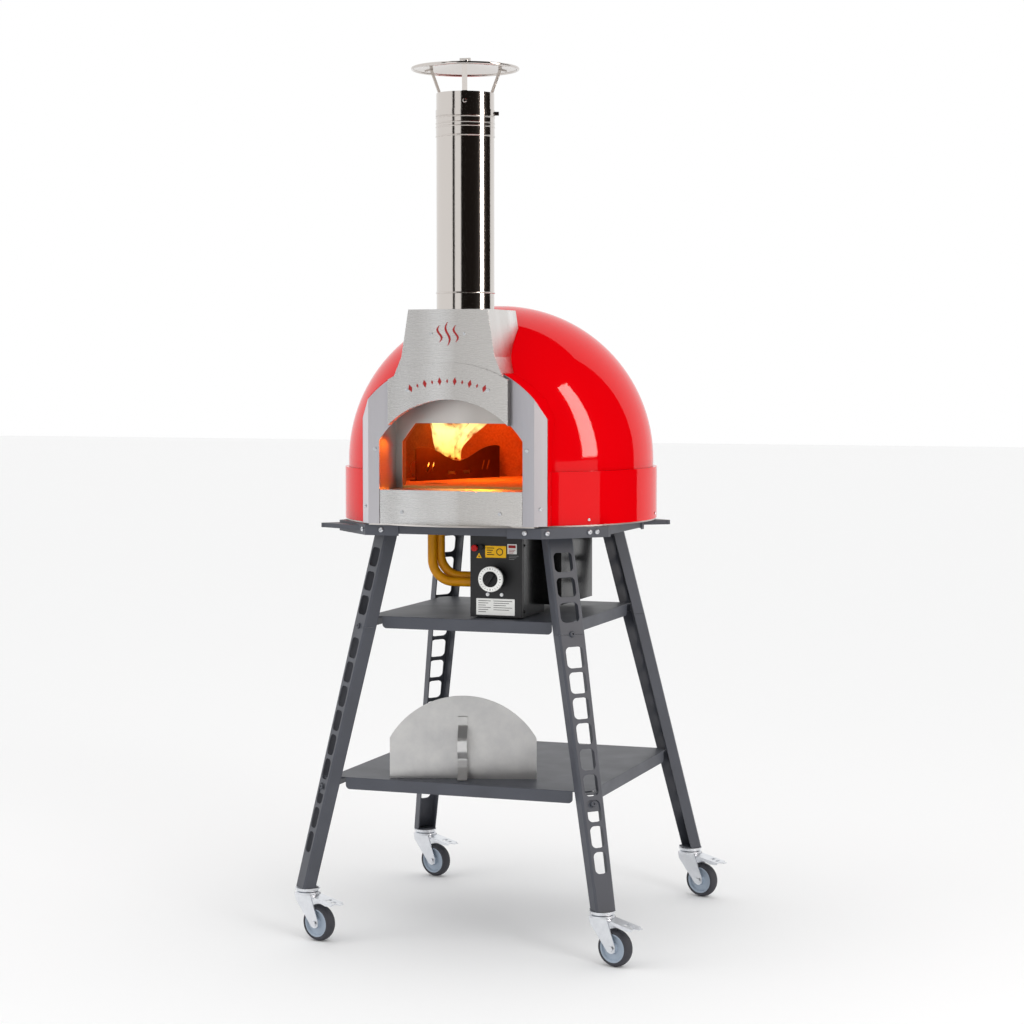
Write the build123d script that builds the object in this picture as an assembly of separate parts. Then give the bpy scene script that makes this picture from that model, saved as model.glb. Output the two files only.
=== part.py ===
# Gas-fired domed pizza oven on a wheeled stand, built as separate pieces.
# Millimetres.  The origin is on the floor under the dome's centre, +Z is up,
# the oven's mouth faces -Y and +X is to the right of a cook facing the mouth.
from build123d import *
from math import atan2, cos, degrees, radians, sin, sqrt
import os

os.makedirs("parts", exist_ok=True)

# ---------------------------------------------------------------- driving sizes
# stand: heights above the floor
CASTER_HEIGHT = 143.0        # floor to the underside of a leg
LOWER_SHELF_Z = 446.0        # top face of the lower shelf
MID_SHELF_Z = 886.0          # top face of the middle shelf
LEG_JOINT_Z = 857.0          # where an upper leg butts onto a lower leg
TRAY_TOP_Z = 1146.0          # top face of the tray that carries the oven

# stand: where the middle of each leg's outer face stands, in plan
LEG_FOOT_X = 441.7
LEG_FOOT_FRONT_Y = -411.9
LEG_FOOT_REAR_Y = 501.3
LEG_HEAD_X = 256.0
LEG_HEAD_FRONT_Y = -255.0
LEG_HEAD_REAR_Y = 257.0

LEG_T = 3.0                  # leg sheet
LEG_W = 78.0                 # web width of the upper leg and of the joint
LEG_FOOT_W = 58.0            # web width at the foot
LEG_FLANGE = 35.0            # depth of the channel
LEG_BEND = 5.0               # flat across the outside of the channel's bends, each way
SLOT_MARGIN = 26.0           # web width minus slot width
SLOT_PITCH = 68.2
UPPER_SLOT_H = 53.0
LOWER_SLOT_H = 57.0
UPPER_SLOTS = 3
LOWER_SLOTS = 9
SLOT_CORNER = 13.0
UPPER_SLOT_START = 34.0      # joint to the lower edge of the first upper slot
LOWER_SLOT_START = 32.0      # joint to the upper edge of the first lower slot

SHEET = 2.0                  # shelf, tray and cover sheet
SHELF_SKIRT = 33.0
SHEET_BEND = 1.6             # outer radius of a folded shelf or tray edge
SHELF_INSET = 12.0           # shelf edge inside the middle of the legs' webs
SHELF_CORNER = 22.0          # corner cut of a shelf deck
SKIRT_END = 46.0             # skirt ends this far from the shelf's corner
SKIRT_CORNER = 12.0

TRAY_FRONT_Y = -385.0
TRAY_REAR_Y = 330.0
TRAY_FRONT_HALF = 250.0      # half of the tray's straight front edge
TRAY_HALF_W = 388.0
TRAY_SIDE_FRONT_Y = -240.0
TRAY_SIDE_REAR_Y = 95.0
TRAY_SKIRT = 24.0
CORNER_PLATE_H = 29.0
CORNER_PLATE_T = 3.0
CORNER_WRAP_X = 155.0        # where a corner plate ends on the front edge
CORNER_OVERLAP = 20.0        # how far it runs along the tray's side
EAR_REACH = 52.0             # lifting ear's tip centre past its corner plate, front left
REAR_EAR_REACH = 74.0        # the same, rear right
EAR_DROP = 6.0               # ear above the tray's lower edge
EAR_T = 12.0
EAR_TIP_R = 9.0

# casters
WHEEL_D = 100.0
WHEEL_W = 32.0
CORE_R = 38.5
TRAIL = 42.0                 # swivel axis to wheel axle
CASTER_HEADING = -18.0       # degrees, from +X
STEM_INSET = 24.5            # swivel axis inside the leg's outer face
HEAD_R = 34.0
FORK_T = 3.0
FORK_GAP = 2.5               # each side of the wheel
AXLE_R = 4.0
KING_PIN_R = 6.0
RUNNING = 0.05               # radial clearance of a running fit
PEDAL_W = 44.0

# oven
OVEN_BASE_Z = 1150.0         # underside of the dome's ring
RING_R = 438.0
RING_H = 143.0
DOME_R = 428.0
DOME_BAND = 20.0             # straight band between the ring and the hemisphere
SHELL_T = 2.0
PAN_T = 4.0
BOARD_T = 50.0               # insulation under the hearth
HEARTH_Z = 1247.0            # cooking surface
CHAMBER_R = 345.0            # inside radius of the refractory dome
CHAMBER_WALL = 15.0          # straight wall below the chamber's hemisphere
CHAMBER_T = 35.0
BLANKET_T = 40.0

# front
FRONT_Y = -402.0             # face of the front frame
FRAME_HALF = 236.0           # fold line to fold line
WING = 27.5                  # each folded wing, sideways and back
FRAME_ARC_Z = 1270.0         # centre of the frame's round top
FRAME_ARC_R = 319.4
MOUTH_HALF = 204.0
MOUTH_ARC_Z = 1241.2         # centre of the mouth's arch, level with the sill
MOUTH_ARC_R = 243.4
ARCH_PLATE_HALF = 170.0
ARCH_PLATE_R = 341.0
ARCH_PLATE_STANDOFF = 19.0   # arch plate in front of the frame
INNER_FRONT_Y = -282.0       # plate behind the smoke gap
INNER_HALF = 186.0           # inner opening
INNER_TOP_Z = 1418.0
INNER_TOP_HALF = 147.0
INNER_SIDE_Z = 1367.0
SILL_GAP = 1.0

# hood and flue
HOOD_TOP_Z = 1723.0
HOOD_TOP_HALF = 112.0
HOOD_CREASE_Z = 1597.0
HOOD_CREASE_HALF = 132.0
HOOD_FOOT_Z = 1541.0
HOOD_FOOT_HALF = 156.0
HOOD_BACK_Y = -196.0
FLUE_Y = -284.0
FLUE_R = 78.0
FLUE_T = 1.5
FLUE_TOP_Z = 2301.0
SLEEVE_H = 115.0             # thicker top section of the flue
BEAD_R = 2.2
CAP_R = 141.5
CAP_Z = 2366.0               # underside of the cap's rim
CAP_RISE = 20.0
CAP_T = 1.5
STRAP_W = 14.0
STRAP_T = 2.0

# burner
GUARD_FROM = (-240.0, -46.0)
GUARD_TO = (-99.0, 261.0)
GUARD_H = 92.0
BURNER_R = 22.0
BURNER_BACK = 62.0           # burner behind its guard

# controls
BOX_X0 = -2.0
BOX_W = 149.0
BOX_FRONT_Y = -245.0
BOX_DEPTH = 188.0
BOX_FOOT = 4.0
BOX_TOP_Z = 1114.0
HOUSING_SHIFT = 20.0         # housing's left side from the box's left side
HOUSING_W = 180.0
HOUSING_D = 282.0
HOUSING_FOOT_Z = 910.0
INLET_R = 10.48              # half-inch gas thread, outside
INLET_LENGTH = 24.0
INLET_X = 60.0
INLET_Z = 965.0
KNOB_X = 73.0
KNOB_Z = 998.0
KNOB_R = 34.5                # white dial ring
KNOB_GRIP_R = 21.5
KNOB_REACH = 48.0            # dial face in front of the panel
KNOB_STEM_R = 4.0
BUTTON_X = 13.7
BUTTON_Z = 1078.5
BUTTON_R = 9.0
BUTTON_TRAVEL = 5.0
HOSE_R = 13.0
HOSE_X = -150.0
HOSE_Y = -150.0
HOSE_IN_Z = 975.0
HOSE_BEND = 62.0
HOSE_PAIR = (15.5, 22.0, 14.5)   # second hose from the first, along X, Y and Z

# door
DOOR_ANGLE = 17.2            # turned towards the cook, on the lower shelf
DOOR_CENTRE = (-14.6, -267.8)
DOOR_HALF = 201.0
DOOR_SIDE_H = 112.0
DOOR_H = 228.0
HANDLE_H = 171.0             # door's lower edge to the top of its handle
HANDLE_REACH = 46.0
DOOR_T = 3.0
DOOR_LIFT_GAP = 0.3

SCREW_R = 5.0
BOLT_R = 8.0
FIT = 0.2                    # gap between pieces that only touch
FAR = 3000.0                 # beyond every face, for cutting and keeping


# ---------------------------------------------------------------- helpers
def polygon(points):
    """Flat face through the points, in the sketch plane."""
    return make_face(Polyline(*points, close=True))


def upright(face, y_rear, y_front):
    """A face drawn in X and Z, made solid from y_rear forwards to y_front."""
    plane = Plane(origin=(0, y_rear, 0), x_dir=(1, 0, 0), z_dir=(0, -1, 0))
    return extrude(plane * face, amount=y_rear - y_front)


def slab(face, z_low, z_high):
    """A face drawn in X and Y, made solid between two heights."""
    return extrude(Pos(0, 0, z_low) * face, amount=z_high - z_low)


def sideways(face, x_low, x_high):
    """A face drawn in Y and Z, made solid between two X values."""
    plane = Plane(origin=(x_low, 0, 0), x_dir=(0, 1, 0), z_dir=(1, 0, 0))
    return extrude(plane * face, amount=x_high - x_low)


def block(x_span, y_span, z_span):
    """A box from its low and high values along each axis."""
    low = (x_span[0], y_span[0], z_span[0])
    size = (x_span[1] - x_span[0], y_span[1] - y_span[0], z_span[1] - z_span[0])
    return Pos(*low) * Box(*size, align=(Align.MIN, Align.MIN, Align.MIN))


def drum(radius, z_low, z_high, x=0.0, y=0.0):
    """An upright cylinder between two heights."""
    base = Align.CENTER, Align.CENTER, Align.MIN
    return Pos(x, y, z_low) * Cylinder(radius, z_high - z_low, align=base)


def tube(outer, inner, z_low, z_high, x=0.0, y=0.0):
    """An upright tube between two heights."""
    return drum(outer, z_low, z_high, x, y) - drum(inner, z_low - 1, z_high + 1, x, y)


def both_sides(piece):
    """The piece and its mirror image in X, as one group."""
    return [piece, mirror(piece, Plane.YZ)]


def group(pieces):
    """Separate solids kept apart in one node."""
    solids = []
    for piece in pieces:
        solids.extend(piece.solids())
    return Compound(children=solids)


def button_head(radius, height):
    """A low domed screw head with a hex socket, standing on Z = 0."""
    head = drum(radius, 0, height)
    head = chamfer(head.faces().sort_by(Axis.Z)[-1].edges(), height * 0.4)
    socket = extrude(Pos(0, 0, height * 0.4) * RegularPolygon(radius * 0.45, 6), amount=height)
    return head - socket


def arch_face(half, z_low, arc_z, arc_r):
    """Upright sides with an arc on top, drawn in X and Z."""
    spring = arc_z + sqrt(arc_r**2 - half**2)
    top = (0, arc_z + arc_r)
    sides = Polyline((half, spring), (half, z_low), (-half, z_low), (-half, spring))
    return make_face(sides + ThreePointArc((-half, spring), top, (half, spring)))


# ---------------------------------------------------------------- legs
LEG_SIDES = {
    "front_left": (-1, LEG_FOOT_FRONT_Y, LEG_HEAD_FRONT_Y),
    "front_right": (1, LEG_FOOT_FRONT_Y, LEG_HEAD_FRONT_Y),
    "rear_left": (-1, LEG_FOOT_REAR_Y, LEG_HEAD_REAR_Y),
    "rear_right": (1, LEG_FOOT_REAR_Y, LEG_HEAD_REAR_Y),
}
TRAY_DECK_Z = TRAY_TOP_Z - SHEET         # underside of the tray's deck


def leg_point(corner, z):
    """Middle of a leg's outer face at a height."""
    side, foot_y, head_y = LEG_SIDES[corner]
    share = (z - CASTER_HEIGHT) / (TRAY_DECK_Z - CASTER_HEIGHT)
    x = LEG_FOOT_X + (LEG_HEAD_X - LEG_FOOT_X) * share
    return Vector(side * x, foot_y + (head_y - foot_y) * share, z)


def leg_outward(corner):
    """Level direction that a leg's slotted face looks in."""
    side, foot_y, _ = LEG_SIDES[corner]
    return Vector(side, 1 if foot_y > 0 else -1, 0).normalized()


def leg_plane(corner, z):
    """Plane on the leg's outer face: local Y runs up the leg, local Z outwards."""
    along = (leg_point(corner, TRAY_DECK_Z) - leg_point(corner, CASTER_HEIGHT)).normalized()
    out = leg_outward(corner)
    out = (out - along * out.dot(along)).normalized()
    return Plane(origin=leg_point(corner, z), x_dir=along.cross(out), z_dir=out)


def leg_length(z_low, z_high):
    """Length along a leg between two heights, as its plane measures it."""
    corner = "front_right"
    return (leg_point(corner, z_high) - leg_point(corner, z_low)).length


def channel(low_w, high_w, length):
    """A tapering channel: web on the plane, flanges behind it, 60 mm spare each end."""
    spare = 60.0
    slope = (high_w - low_w) / length

    def trapezoid(inset):
        low = low_w / 2 - slope * spare / 2 - inset
        high = high_w / 2 + slope * spare / 2 - inset
        return polygon([(-low, -spare), (low, -spare), (high, length + spare), (-high, length + spare)])

    def bent(solid, flat):
        bends = solid.faces().sort_by(Axis.Z)[-1].edges().sort_by(SortBy.LENGTH)[-2:]
        return chamfer(bends, flat)

    outer = bent(extrude(trapezoid(0), amount=-LEG_FLANGE), LEG_BEND)
    inside_bend = LEG_BEND - LEG_T * (2 - sqrt(2))
    inner = bent(extrude(Pos(0, 0, -LEG_T) * trapezoid(LEG_T), amount=-LEG_FLANGE), inside_bend)
    return outer - inner


def slot_cutter(width, height, y):
    """A round-cornered slot through the web, centred at y along the leg."""
    corner = min(SLOT_CORNER, width / 2 - 0.5, height / 2 - 0.5)
    face = Pos(0, y, 1) * RectangleRounded(width, height, corner)
    return extrude(face, amount=-(LEG_T + 2))


def between(z_low, z_high):
    """A large slab that keeps what lies between two heights."""
    reach = 2 * max(LEG_FOOT_X, LEG_FOOT_REAR_Y, RING_R)
    return block((-reach, reach), (-reach, reach), (z_low, z_high))


def upper_leg(corner):
    """Straight slotted channel between the joint and the tray."""
    length = leg_length(LEG_JOINT_Z, TRAY_DECK_Z)
    body = channel(LEG_W, LEG_W, length)
    first = UPPER_SLOT_START + UPPER_SLOT_H / 2
    for i in range(UPPER_SLOTS):
        body -= slot_cutter(LEG_W - SLOT_MARGIN + 3, UPPER_SLOT_H, first + i * SLOT_PITCH)
    placed = leg_plane(corner, LEG_JOINT_Z) * body
    return placed & between(LEG_JOINT_Z + FIT, TRAY_DECK_Z - FIT)


def lower_leg(corner):
    """Tapering slotted channel with a foot plate that takes the caster's stem."""
    length = leg_length(CASTER_HEIGHT, LEG_JOINT_Z)
    body = channel(LEG_FOOT_W, LEG_W, length)
    for i in range(LOWER_SLOTS):
        y = length - LOWER_SLOT_START - LOWER_SLOT_H / 2 - i * SLOT_PITCH
        width = LEG_FOOT_W + (LEG_W - LEG_FOOT_W) * y / length - SLOT_MARGIN
        body -= slot_cutter(width, LOWER_SLOT_H, y)
    placed = leg_plane(corner, CASTER_HEIGHT) * body
    placed = placed & between(CASTER_HEIGHT, LEG_JOINT_Z - FIT)
    out = leg_outward(corner)
    heading = degrees(atan2(out.Y, out.X))
    foot = leg_point(corner, CASTER_HEIGHT)
    plate_depth = 2 * STEM_INSET - LEG_T
    plate = Box(plate_depth, LEG_FOOT_W - 2 * LEG_T, LEG_T, align=(Align.MAX, Align.CENTER, Align.MIN))
    plate = Pos(foot.X, foot.Y, foot.Z) * Rot(0, 0, heading) * Pos(-1.0, 0, 0) * plate
    stem = stem_point(corner)
    return placed + plate - drum(KING_PIN_R, CASTER_HEIGHT - 1, CASTER_HEIGHT + LEG_T + 1, stem.X, stem.Y)


def stem_point(corner):
    """Where a caster's swivel axis meets the underside of its leg."""
    foot = leg_point(corner, CASTER_HEIGHT)
    return foot - leg_outward(corner) * STEM_INSET


# ---------------------------------------------------------------- shelves and tray
def shelf_corner(corner, z):
    """Plan position of a shelf's corner, inside the leg's channel."""
    point = leg_point(corner, z)
    side = 1 if point.X > 0 else -1
    back = 1 if point.Y > 0 else -1
    return point.X - side * SHELF_INSET, point.Y - back * SHELF_INSET


def skirt(length, height):
    """A skirt panel standing on Z = 0, hanging down, with rounded lower corners."""
    panel = Pos(0, -height / 2) * Rectangle(length, height)
    lower = panel.vertices().group_by(Axis.Y)[0]
    return fillet(lower, min(SKIRT_CORNER, height / 2 - 1))


def shelf(z):
    """Folded sheet shelf: deck with cut corners and four skirts."""
    right, front = shelf_corner("front_right", z)
    rear = shelf_corner("rear_right", z)[1]
    cut = SHELF_CORNER
    deck = polygon([
        (-right + cut, front), (right - cut, front), (right, front + cut), (right, rear - cut),
        (right - cut, rear), (-right + cut, rear), (-right, rear - cut), (-right, front + cut),
    ])
    body = slab(deck, z - SHEET, z)
    wide = skirt(2 * (right - SKIRT_END), SHELF_SKIRT)
    deep = skirt(rear - front - 2 * SKIRT_END, SHELF_SKIRT)
    body += upright(Pos(0, z) * wide, front + SHEET, front)
    body += upright(Pos(0, z) * wide, rear, rear - SHEET)
    for x_low in (-right, right - SHEET):
        body += sideways(Pos((front + rear) / 2, z) * deep, x_low, x_low + SHEET)
    return rounded_rim(body)


def rounded_rim(body):
    """Round the long bends round the top face of a folded sheet."""
    rim = body.faces().sort_by(Axis.Z)[-1].outer_wire().edges()
    return fillet(rim, SHEET_BEND)


def shelf_bracket(corner, z):
    """Angle cleat inside a leg's channel, bolted to the web, under a shelf's corner."""
    plane = leg_plane(corner, z - SHEET)
    width = LEG_FOOT_W - 2 * LEG_T - 8
    back = extrude(Pos(0, -26, -LEG_T - FIT) * Rectangle(width, 40), amount=-LEG_T)
    bolt = Pos(0, -26, FIT) * button_head(BOLT_R, 5)
    cleat = plane * back
    out = leg_outward(corner)
    heading = degrees(atan2(out.Y, out.X))
    at = leg_point(corner, z - SHEET - LEG_T - FIT)
    ledge = Box(48, width, LEG_T, align=(Align.MAX, Align.CENTER, Align.MIN))
    ledge = Pos(at.X, at.Y, at.Z) * Rot(0, 0, heading) * Pos(-LEG_T * 1.6, 0, 0) * ledge
    return [cleat + ledge, plane * bolt]


def tray_corner(front):
    """The ends of the right-hand slanting edge, front or rear, in plan."""
    if front:
        return (TRAY_FRONT_HALF, TRAY_FRONT_Y), (TRAY_HALF_W, TRAY_SIDE_FRONT_Y)
    return (TRAY_FRONT_HALF, TRAY_REAR_Y), (TRAY_HALF_W, TRAY_SIDE_REAR_Y)


def tray_outline(grow=0.0):
    """The tray's eight-sided plan, grown outwards by an amount."""
    right = [*tray_corner(True), *reversed(tray_corner(False))]
    left = [(-x, y) for x, y in reversed(right)]
    outline = polygon(right + left)
    return offset(outline, amount=grow, kind=Kind.INTERSECTION) if grow else outline


def stand_tray():
    """Folded tray on top of the legs, with a round way through for the burner pipes."""
    body = slab(tray_outline(), TRAY_TOP_Z - TRAY_SKIRT, TRAY_TOP_Z)
    body -= slab(tray_outline(-SHEET), TRAY_TOP_Z - TRAY_SKIRT - 1, TRAY_DECK_Z)
    return body - pipe_way(TRAY_DECK_Z - 1, TRAY_TOP_Z + 1)


def pipe_way(z_low, z_high):
    """The hole that both hoses go up through."""
    x = HOSE_X + HOSE_PAIR[0] / 2
    y = HOSE_Y + HOSE_PAIR[1] / 2
    return drum(2 * HOSE_R + 8, z_low, z_high, x, y)


def corner_plates():
    """Four plates wrapped round the tray's corners; two carry a lifting ear."""
    top = TRAY_TOP_Z - FIT
    band = slab(tray_outline(CORNER_PLATE_T + FIT), top - CORNER_PLATE_H, top)
    band -= slab(tray_outline(FIT), top - CORNER_PLATE_H - 1, top + 1)
    keep_front = block((CORNER_WRAP_X, FAR), (-FAR, TRAY_SIDE_FRONT_Y + CORNER_OVERLAP), (0, FAR))
    keep_rear = block((CORNER_WRAP_X, FAR), (TRAY_SIDE_REAR_Y - CORNER_OVERLAP, FAR), (0, FAR))
    front = band & keep_front
    rear = band & keep_rear
    front_left = mirror(front + ear(*tray_corner(True), 0.2, EAR_REACH), Plane.YZ)
    rear_right = rear + ear(*tray_corner(False), 0.35, REAR_EAR_REACH)
    return [front_left, front, mirror(rear, Plane.YZ), rear_right]


def ear(near, far, start_share, reach):
    """A tapering carrying ear, level, from a right-hand corner plate to a round tip."""
    start = Vector(*near)
    run = Vector(*far) - start
    along = run.normalized()
    out = Vector(along.Y, -along.X)
    if out.X < 0:
        out = out * -1
    skin = out * (CORNER_PLATE_T + FIT - 1.0)
    root_a = start + run * start_share + skin
    root_b = start + run * 0.99 + skin
    tip = start + run * 0.94 + out * reach
    ahead = (out + along * 0.5).normalized()
    across = Vector(ahead.Y, -ahead.X)
    if across.dot(along) < 0:
        across = across * -1
    side_a = tip - across * EAR_TIP_R
    side_b = tip + across * EAR_TIP_R
    end = tip + ahead * EAR_TIP_R
    outline = Polyline(tuple(side_a), tuple(root_a), tuple(root_b), tuple(side_b))
    face = make_face(outline + ThreePointArc(tuple(side_b), tuple(end), tuple(side_a)))
    z_low = TRAY_TOP_Z - TRAY_SKIRT + EAR_DROP
    return slab(face, z_low, z_low + EAR_T)


# ---------------------------------------------------------------- casters
FORK_IN = WHEEL_W / 2 + FORK_GAP
AXLE_Z = WHEEL_D / 2
HEAD_Z = CASTER_HEIGHT - 4.0             # underside of the fixed head plate
RACE_Z = HEAD_Z - 7.0                    # underside of the fixed ball race
FORK_TOP_Z = RACE_Z - 0.4
FORK_PLATE_Z = FORK_TOP_Z - 6.0


def at_stem(corner, piece):
    """Move a piece drawn round the swivel axis to its leg and turn it."""
    stem = stem_point(corner)
    return Pos(stem.X, stem.Y, 0) * Rot(0, 0, CASTER_HEADING) * piece


def caster_head():
    """Fixed plate, ball race and king pin."""
    body = drum(HEAD_R, HEAD_Z, CASTER_HEIGHT)
    race = drum(HEAD_R - 4, RACE_Z, HEAD_Z)
    race = chamfer(race.faces().sort_by(Axis.Z)[0].edges(), 2.5)
    pin = drum(KING_PIN_R, FORK_PLATE_Z - 5, RACE_Z)
    return body + race + pin


def caster_fork():
    """Pressed fork: round crown, two cheeks that lean back to the axle, axle bolt."""
    crown = tube(HEAD_R - 1, KING_PIN_R + RUNNING, FORK_PLATE_Z, FORK_TOP_Z)
    boss = 13.0
    left, right = -HEAD_R + 5.0, HEAD_R - 7.0
    cheek = polygon([
        (left, FORK_PLATE_Z + 3), (left + 3, FORK_PLATE_Z - 16), (TRAIL - boss * 0.82, AXLE_Z - 10),
        (TRAIL + boss * 0.95, AXLE_Z - 8), (TRAIL + boss, AXLE_Z + 8), (right, FORK_PLATE_Z + 3),
    ])
    cheek += Pos(TRAIL, AXLE_Z) * Circle(boss)
    body = crown
    for y_low in (-FORK_IN - FORK_T, FORK_IN):
        body += upright(cheek, y_low + FORK_T, y_low)
    ends = FORK_IN + FORK_T
    axle = Pos(TRAIL, 0, AXLE_Z) * Rot(90, 0, 0) * Cylinder(AXLE_R, 2 * ends)
    head = Rot(90, 0, 0) * extrude(RegularPolygon(8, 6), amount=4)
    bolt = axle + Pos(TRAIL, -ends, AXLE_Z) * head
    bolt += Pos(TRAIL, ends, AXLE_Z) * mirror(head, Plane.XZ)
    return body + bolt


def wheel_core():
    """Moulded wheel centre with a raised rim bead and a bored hub."""
    half = WHEEL_W / 2
    hub = half + FORK_GAP - 0.8
    dish = half - 7
    bore = AXLE_R + RUNNING
    rim = half - 1
    near = [(bore, -hub), (13, -hub), (15, -dish), (CORE_R - 7, -dish), (CORE_R - 4, -rim), (CORE_R, -rim)]
    far = [(r, -along) for r, along in reversed(near)]
    return wheel_place(polygon(near + far))


def wheel_tyre():
    """Solid rubber tyre with a rounded tread."""
    half = WHEEL_W / 2
    outer = WHEEL_D / 2
    edge = 6.0
    seat = CORE_R + RUNNING
    section = Polyline((outer - edge, -half), (seat, -half), (seat, half), (outer - edge, half))
    section += ThreePointArc((outer - edge, half), (outer, 0), (outer - edge, -half))
    return wheel_place(make_face(section))


def wheel_place(section):
    """Turn a half section round the axle, in the caster's own frame."""
    plane = Plane(origin=(TRAIL, 0, AXLE_Z), x_dir=(1, 0, 0), z_dir=(0, 0, 1))
    ring = revolve(plane * section, axis=Axis((TRAIL, 0, AXLE_Z), (0, 1, 0)), revolution_arc=360)
    return ring


PEDAL_X = HEAD_R - 2.0
PEDAL_Z = FORK_PLATE_Z - 6.0


def brake_pedal():
    """Pressed pedal over the wheel with turned-down sides, a slot and a toe tab."""
    length = 78.0
    drop = 15.0
    side = 11.0
    half = PEDAL_W / 2
    lean = degrees(atan2(drop, length))
    hung = Align.MIN, Align.CENTER, Align.MAX
    top = Box(length, PEDAL_W, SHEET, align=hung)
    rib = polygon([(10, 0), (length, 0), (length, -side * 0.5), (length * 0.7, -side), (10, -side * 0.7)])
    body = top
    for y_low in (-half, half - SHEET):
        body += upright(rib, y_low + SHEET, y_low)
    body -= Pos(length * 0.62, 0, 0) * Box(10, PEDAL_W * 0.5, 3 * SHEET)
    body -= Pos(length * 0.84, 0, 0) * Box(9, PEDAL_W * 0.42, 3 * SHEET)
    body += Pos(length - 1, 0, 0) * Rot(0, -12, 0) * Box(17, 14, SHEET, align=hung)
    body += Pos(3, 0, -4.6) * Rot(90, 0, 0) * Cylinder(3.6, PEDAL_W * 0.7)
    return Pos(PEDAL_X, 0, PEDAL_Z + 5.0) * Rot(0, lean, 0) * body


# ---------------------------------------------------------------- oven body
RING_TOP_Z = OVEN_BASE_Z + RING_H
DOME_TOP_Z = RING_TOP_Z + DOME_BAND + DOME_R


def dome_solid(radius, z_top, z_low):
    """Hemisphere with its crown at z_top, on a straight band down to z_low."""
    centre = z_top - radius
    slant = radius * sin(radians(45))
    arc = ThreePointArc((radius, centre), (slant, centre + slant), (0, z_top))
    sides = Polyline((0, z_top), (0, z_low), (radius, z_low), (radius, centre))
    return revolve(Plane.XZ * make_face(arc + sides), axis=Axis.Z, revolution_arc=360)


def front_outline(grow=0.0):
    """Outline of the front frame and of the dome's front opening, in X and Z."""
    edge = FRAME_HALF + WING + grow
    arc_r = FRAME_ARC_R + grow
    fold = FRAME_HALF + grow * 0.7
    fold_z = FRAME_ARC_Z + sqrt(arc_r**2 - fold**2)
    unfolded = fold + WING * sqrt(2)
    edge_z = FRAME_ARC_Z + sqrt(arc_r**2 - unfolded**2)
    low = OVEN_BASE_Z
    right = [(fold, fold_z), (edge, edge_z), (edge, low)]
    sides = Polyline(*right, *[(-x, z) for x, z in reversed(right)])
    return make_face(sides + ThreePointArc((-fold, fold_z), (0, FRAME_ARC_Z + arc_r), (fold, fold_z)))


def behind_front(gap):
    """Everything behind the frame's folded front, in plan, by a gap."""
    far = 2 * RING_R
    y = FRONT_Y + gap
    fold = FRAME_HALF
    edge = fold + WING
    outline = [(-far, far), (-far, y + WING + (far - edge) * 0.02), (-edge, y + WING), (-fold, y),
               (fold, y), (edge, y + WING), (far, y + WING + (far - edge) * 0.02), (far, far)]
    return slab(polygon(outline), 0, HOOD_TOP_Z + 400)


def hood_outline(inset):
    """Front view of the hood, narrowed by an inset."""
    rows = [(HOOD_TOP_HALF, HOOD_TOP_Z), (HOOD_CREASE_HALF, HOOD_CREASE_Z), (HOOD_FOOT_HALF, HOOD_FOOT_Z)]
    right = [(half - inset, z) for half, z in rows]
    low = (HOOD_FOOT_HALF - inset, FRAME_ARC_Z)
    high = (HOOD_TOP_HALF - inset, HOOD_TOP_Z + 300)
    right = [high] + right + [low]
    left = [(-x, z) for x, z in reversed(right)]
    return polygon(right + left)


def dome_shell():
    """Painted dome with the collar that runs forward to the front frame."""
    dome = dome_solid(DOME_R, DOME_TOP_Z, RING_TOP_Z + FIT)
    hollow = dome_solid(DOME_R - SHELL_T, DOME_TOP_Z - SHELL_T, OVEN_BASE_Z - 20)
    opening = upright(front_outline(), 0, 2 * FRONT_Y)
    collar = upright(front_outline(SHELL_T), -100, FRONT_Y - 9) & behind_front(SHEET + FIT)
    collar -= drum(RING_R + FIT, OVEN_BASE_Z - 10, RING_TOP_Z + FIT)
    hood_way = upright(hood_outline(-FIT), HOOD_BACK_Y + FIT, 2 * FRONT_Y)
    hood_way &= between(FRAME_ARC_Z + FRAME_ARC_R * 0.5, HOOD_TOP_Z + 200)
    body = dome + collar
    for cutter in (hollow, opening, hood_way):
        body -= cutter
    return largest(body)


def largest(shape):
    """The biggest solid of a cut shape."""
    return shape.solids().sort_by(SortBy.VOLUME)[-1]


def base_ring():
    """Painted ring with a step at its top, open at the front."""
    body = tube(RING_R, RING_R - SHELL_T, OVEN_BASE_Z, RING_TOP_Z)
    body += tube(RING_R - 0.5, DOME_R + FIT, RING_TOP_Z - SHELL_T, RING_TOP_Z)
    return body - upright(front_outline(SHELL_T + FIT), 0, 2 * FRONT_Y)


def floor_pan():
    """Round steel pan under the oven, squared off at the front."""
    body = drum(RING_R - SHELL_T - FIT, OVEN_BASE_Z - PAN_T, OVEN_BASE_Z)
    square = block((-FRAME_HALF, FRAME_HALF), (FRONT_Y + SHEET + 1, 0), (OVEN_BASE_Z - PAN_T, OVEN_BASE_Z))
    return body + square - pipe_way(OVEN_BASE_Z - PAN_T - 1, OVEN_BASE_Z + 1)


BOARD_R = CHAMBER_R + CHAMBER_T + 10


def floor_board():
    """Insulating board between the pan and the hearth."""
    body = drum(BOARD_R, OVEN_BASE_Z + FIT, OVEN_BASE_Z + BOARD_T)
    body &= block((-BOARD_R, BOARD_R), (INNER_FRONT_Y + SHEET + FIT, BOARD_R), (0, FAR))
    return body - pipe_way(OVEN_BASE_Z - 1, OVEN_BASE_Z + BOARD_T + 1)


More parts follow.
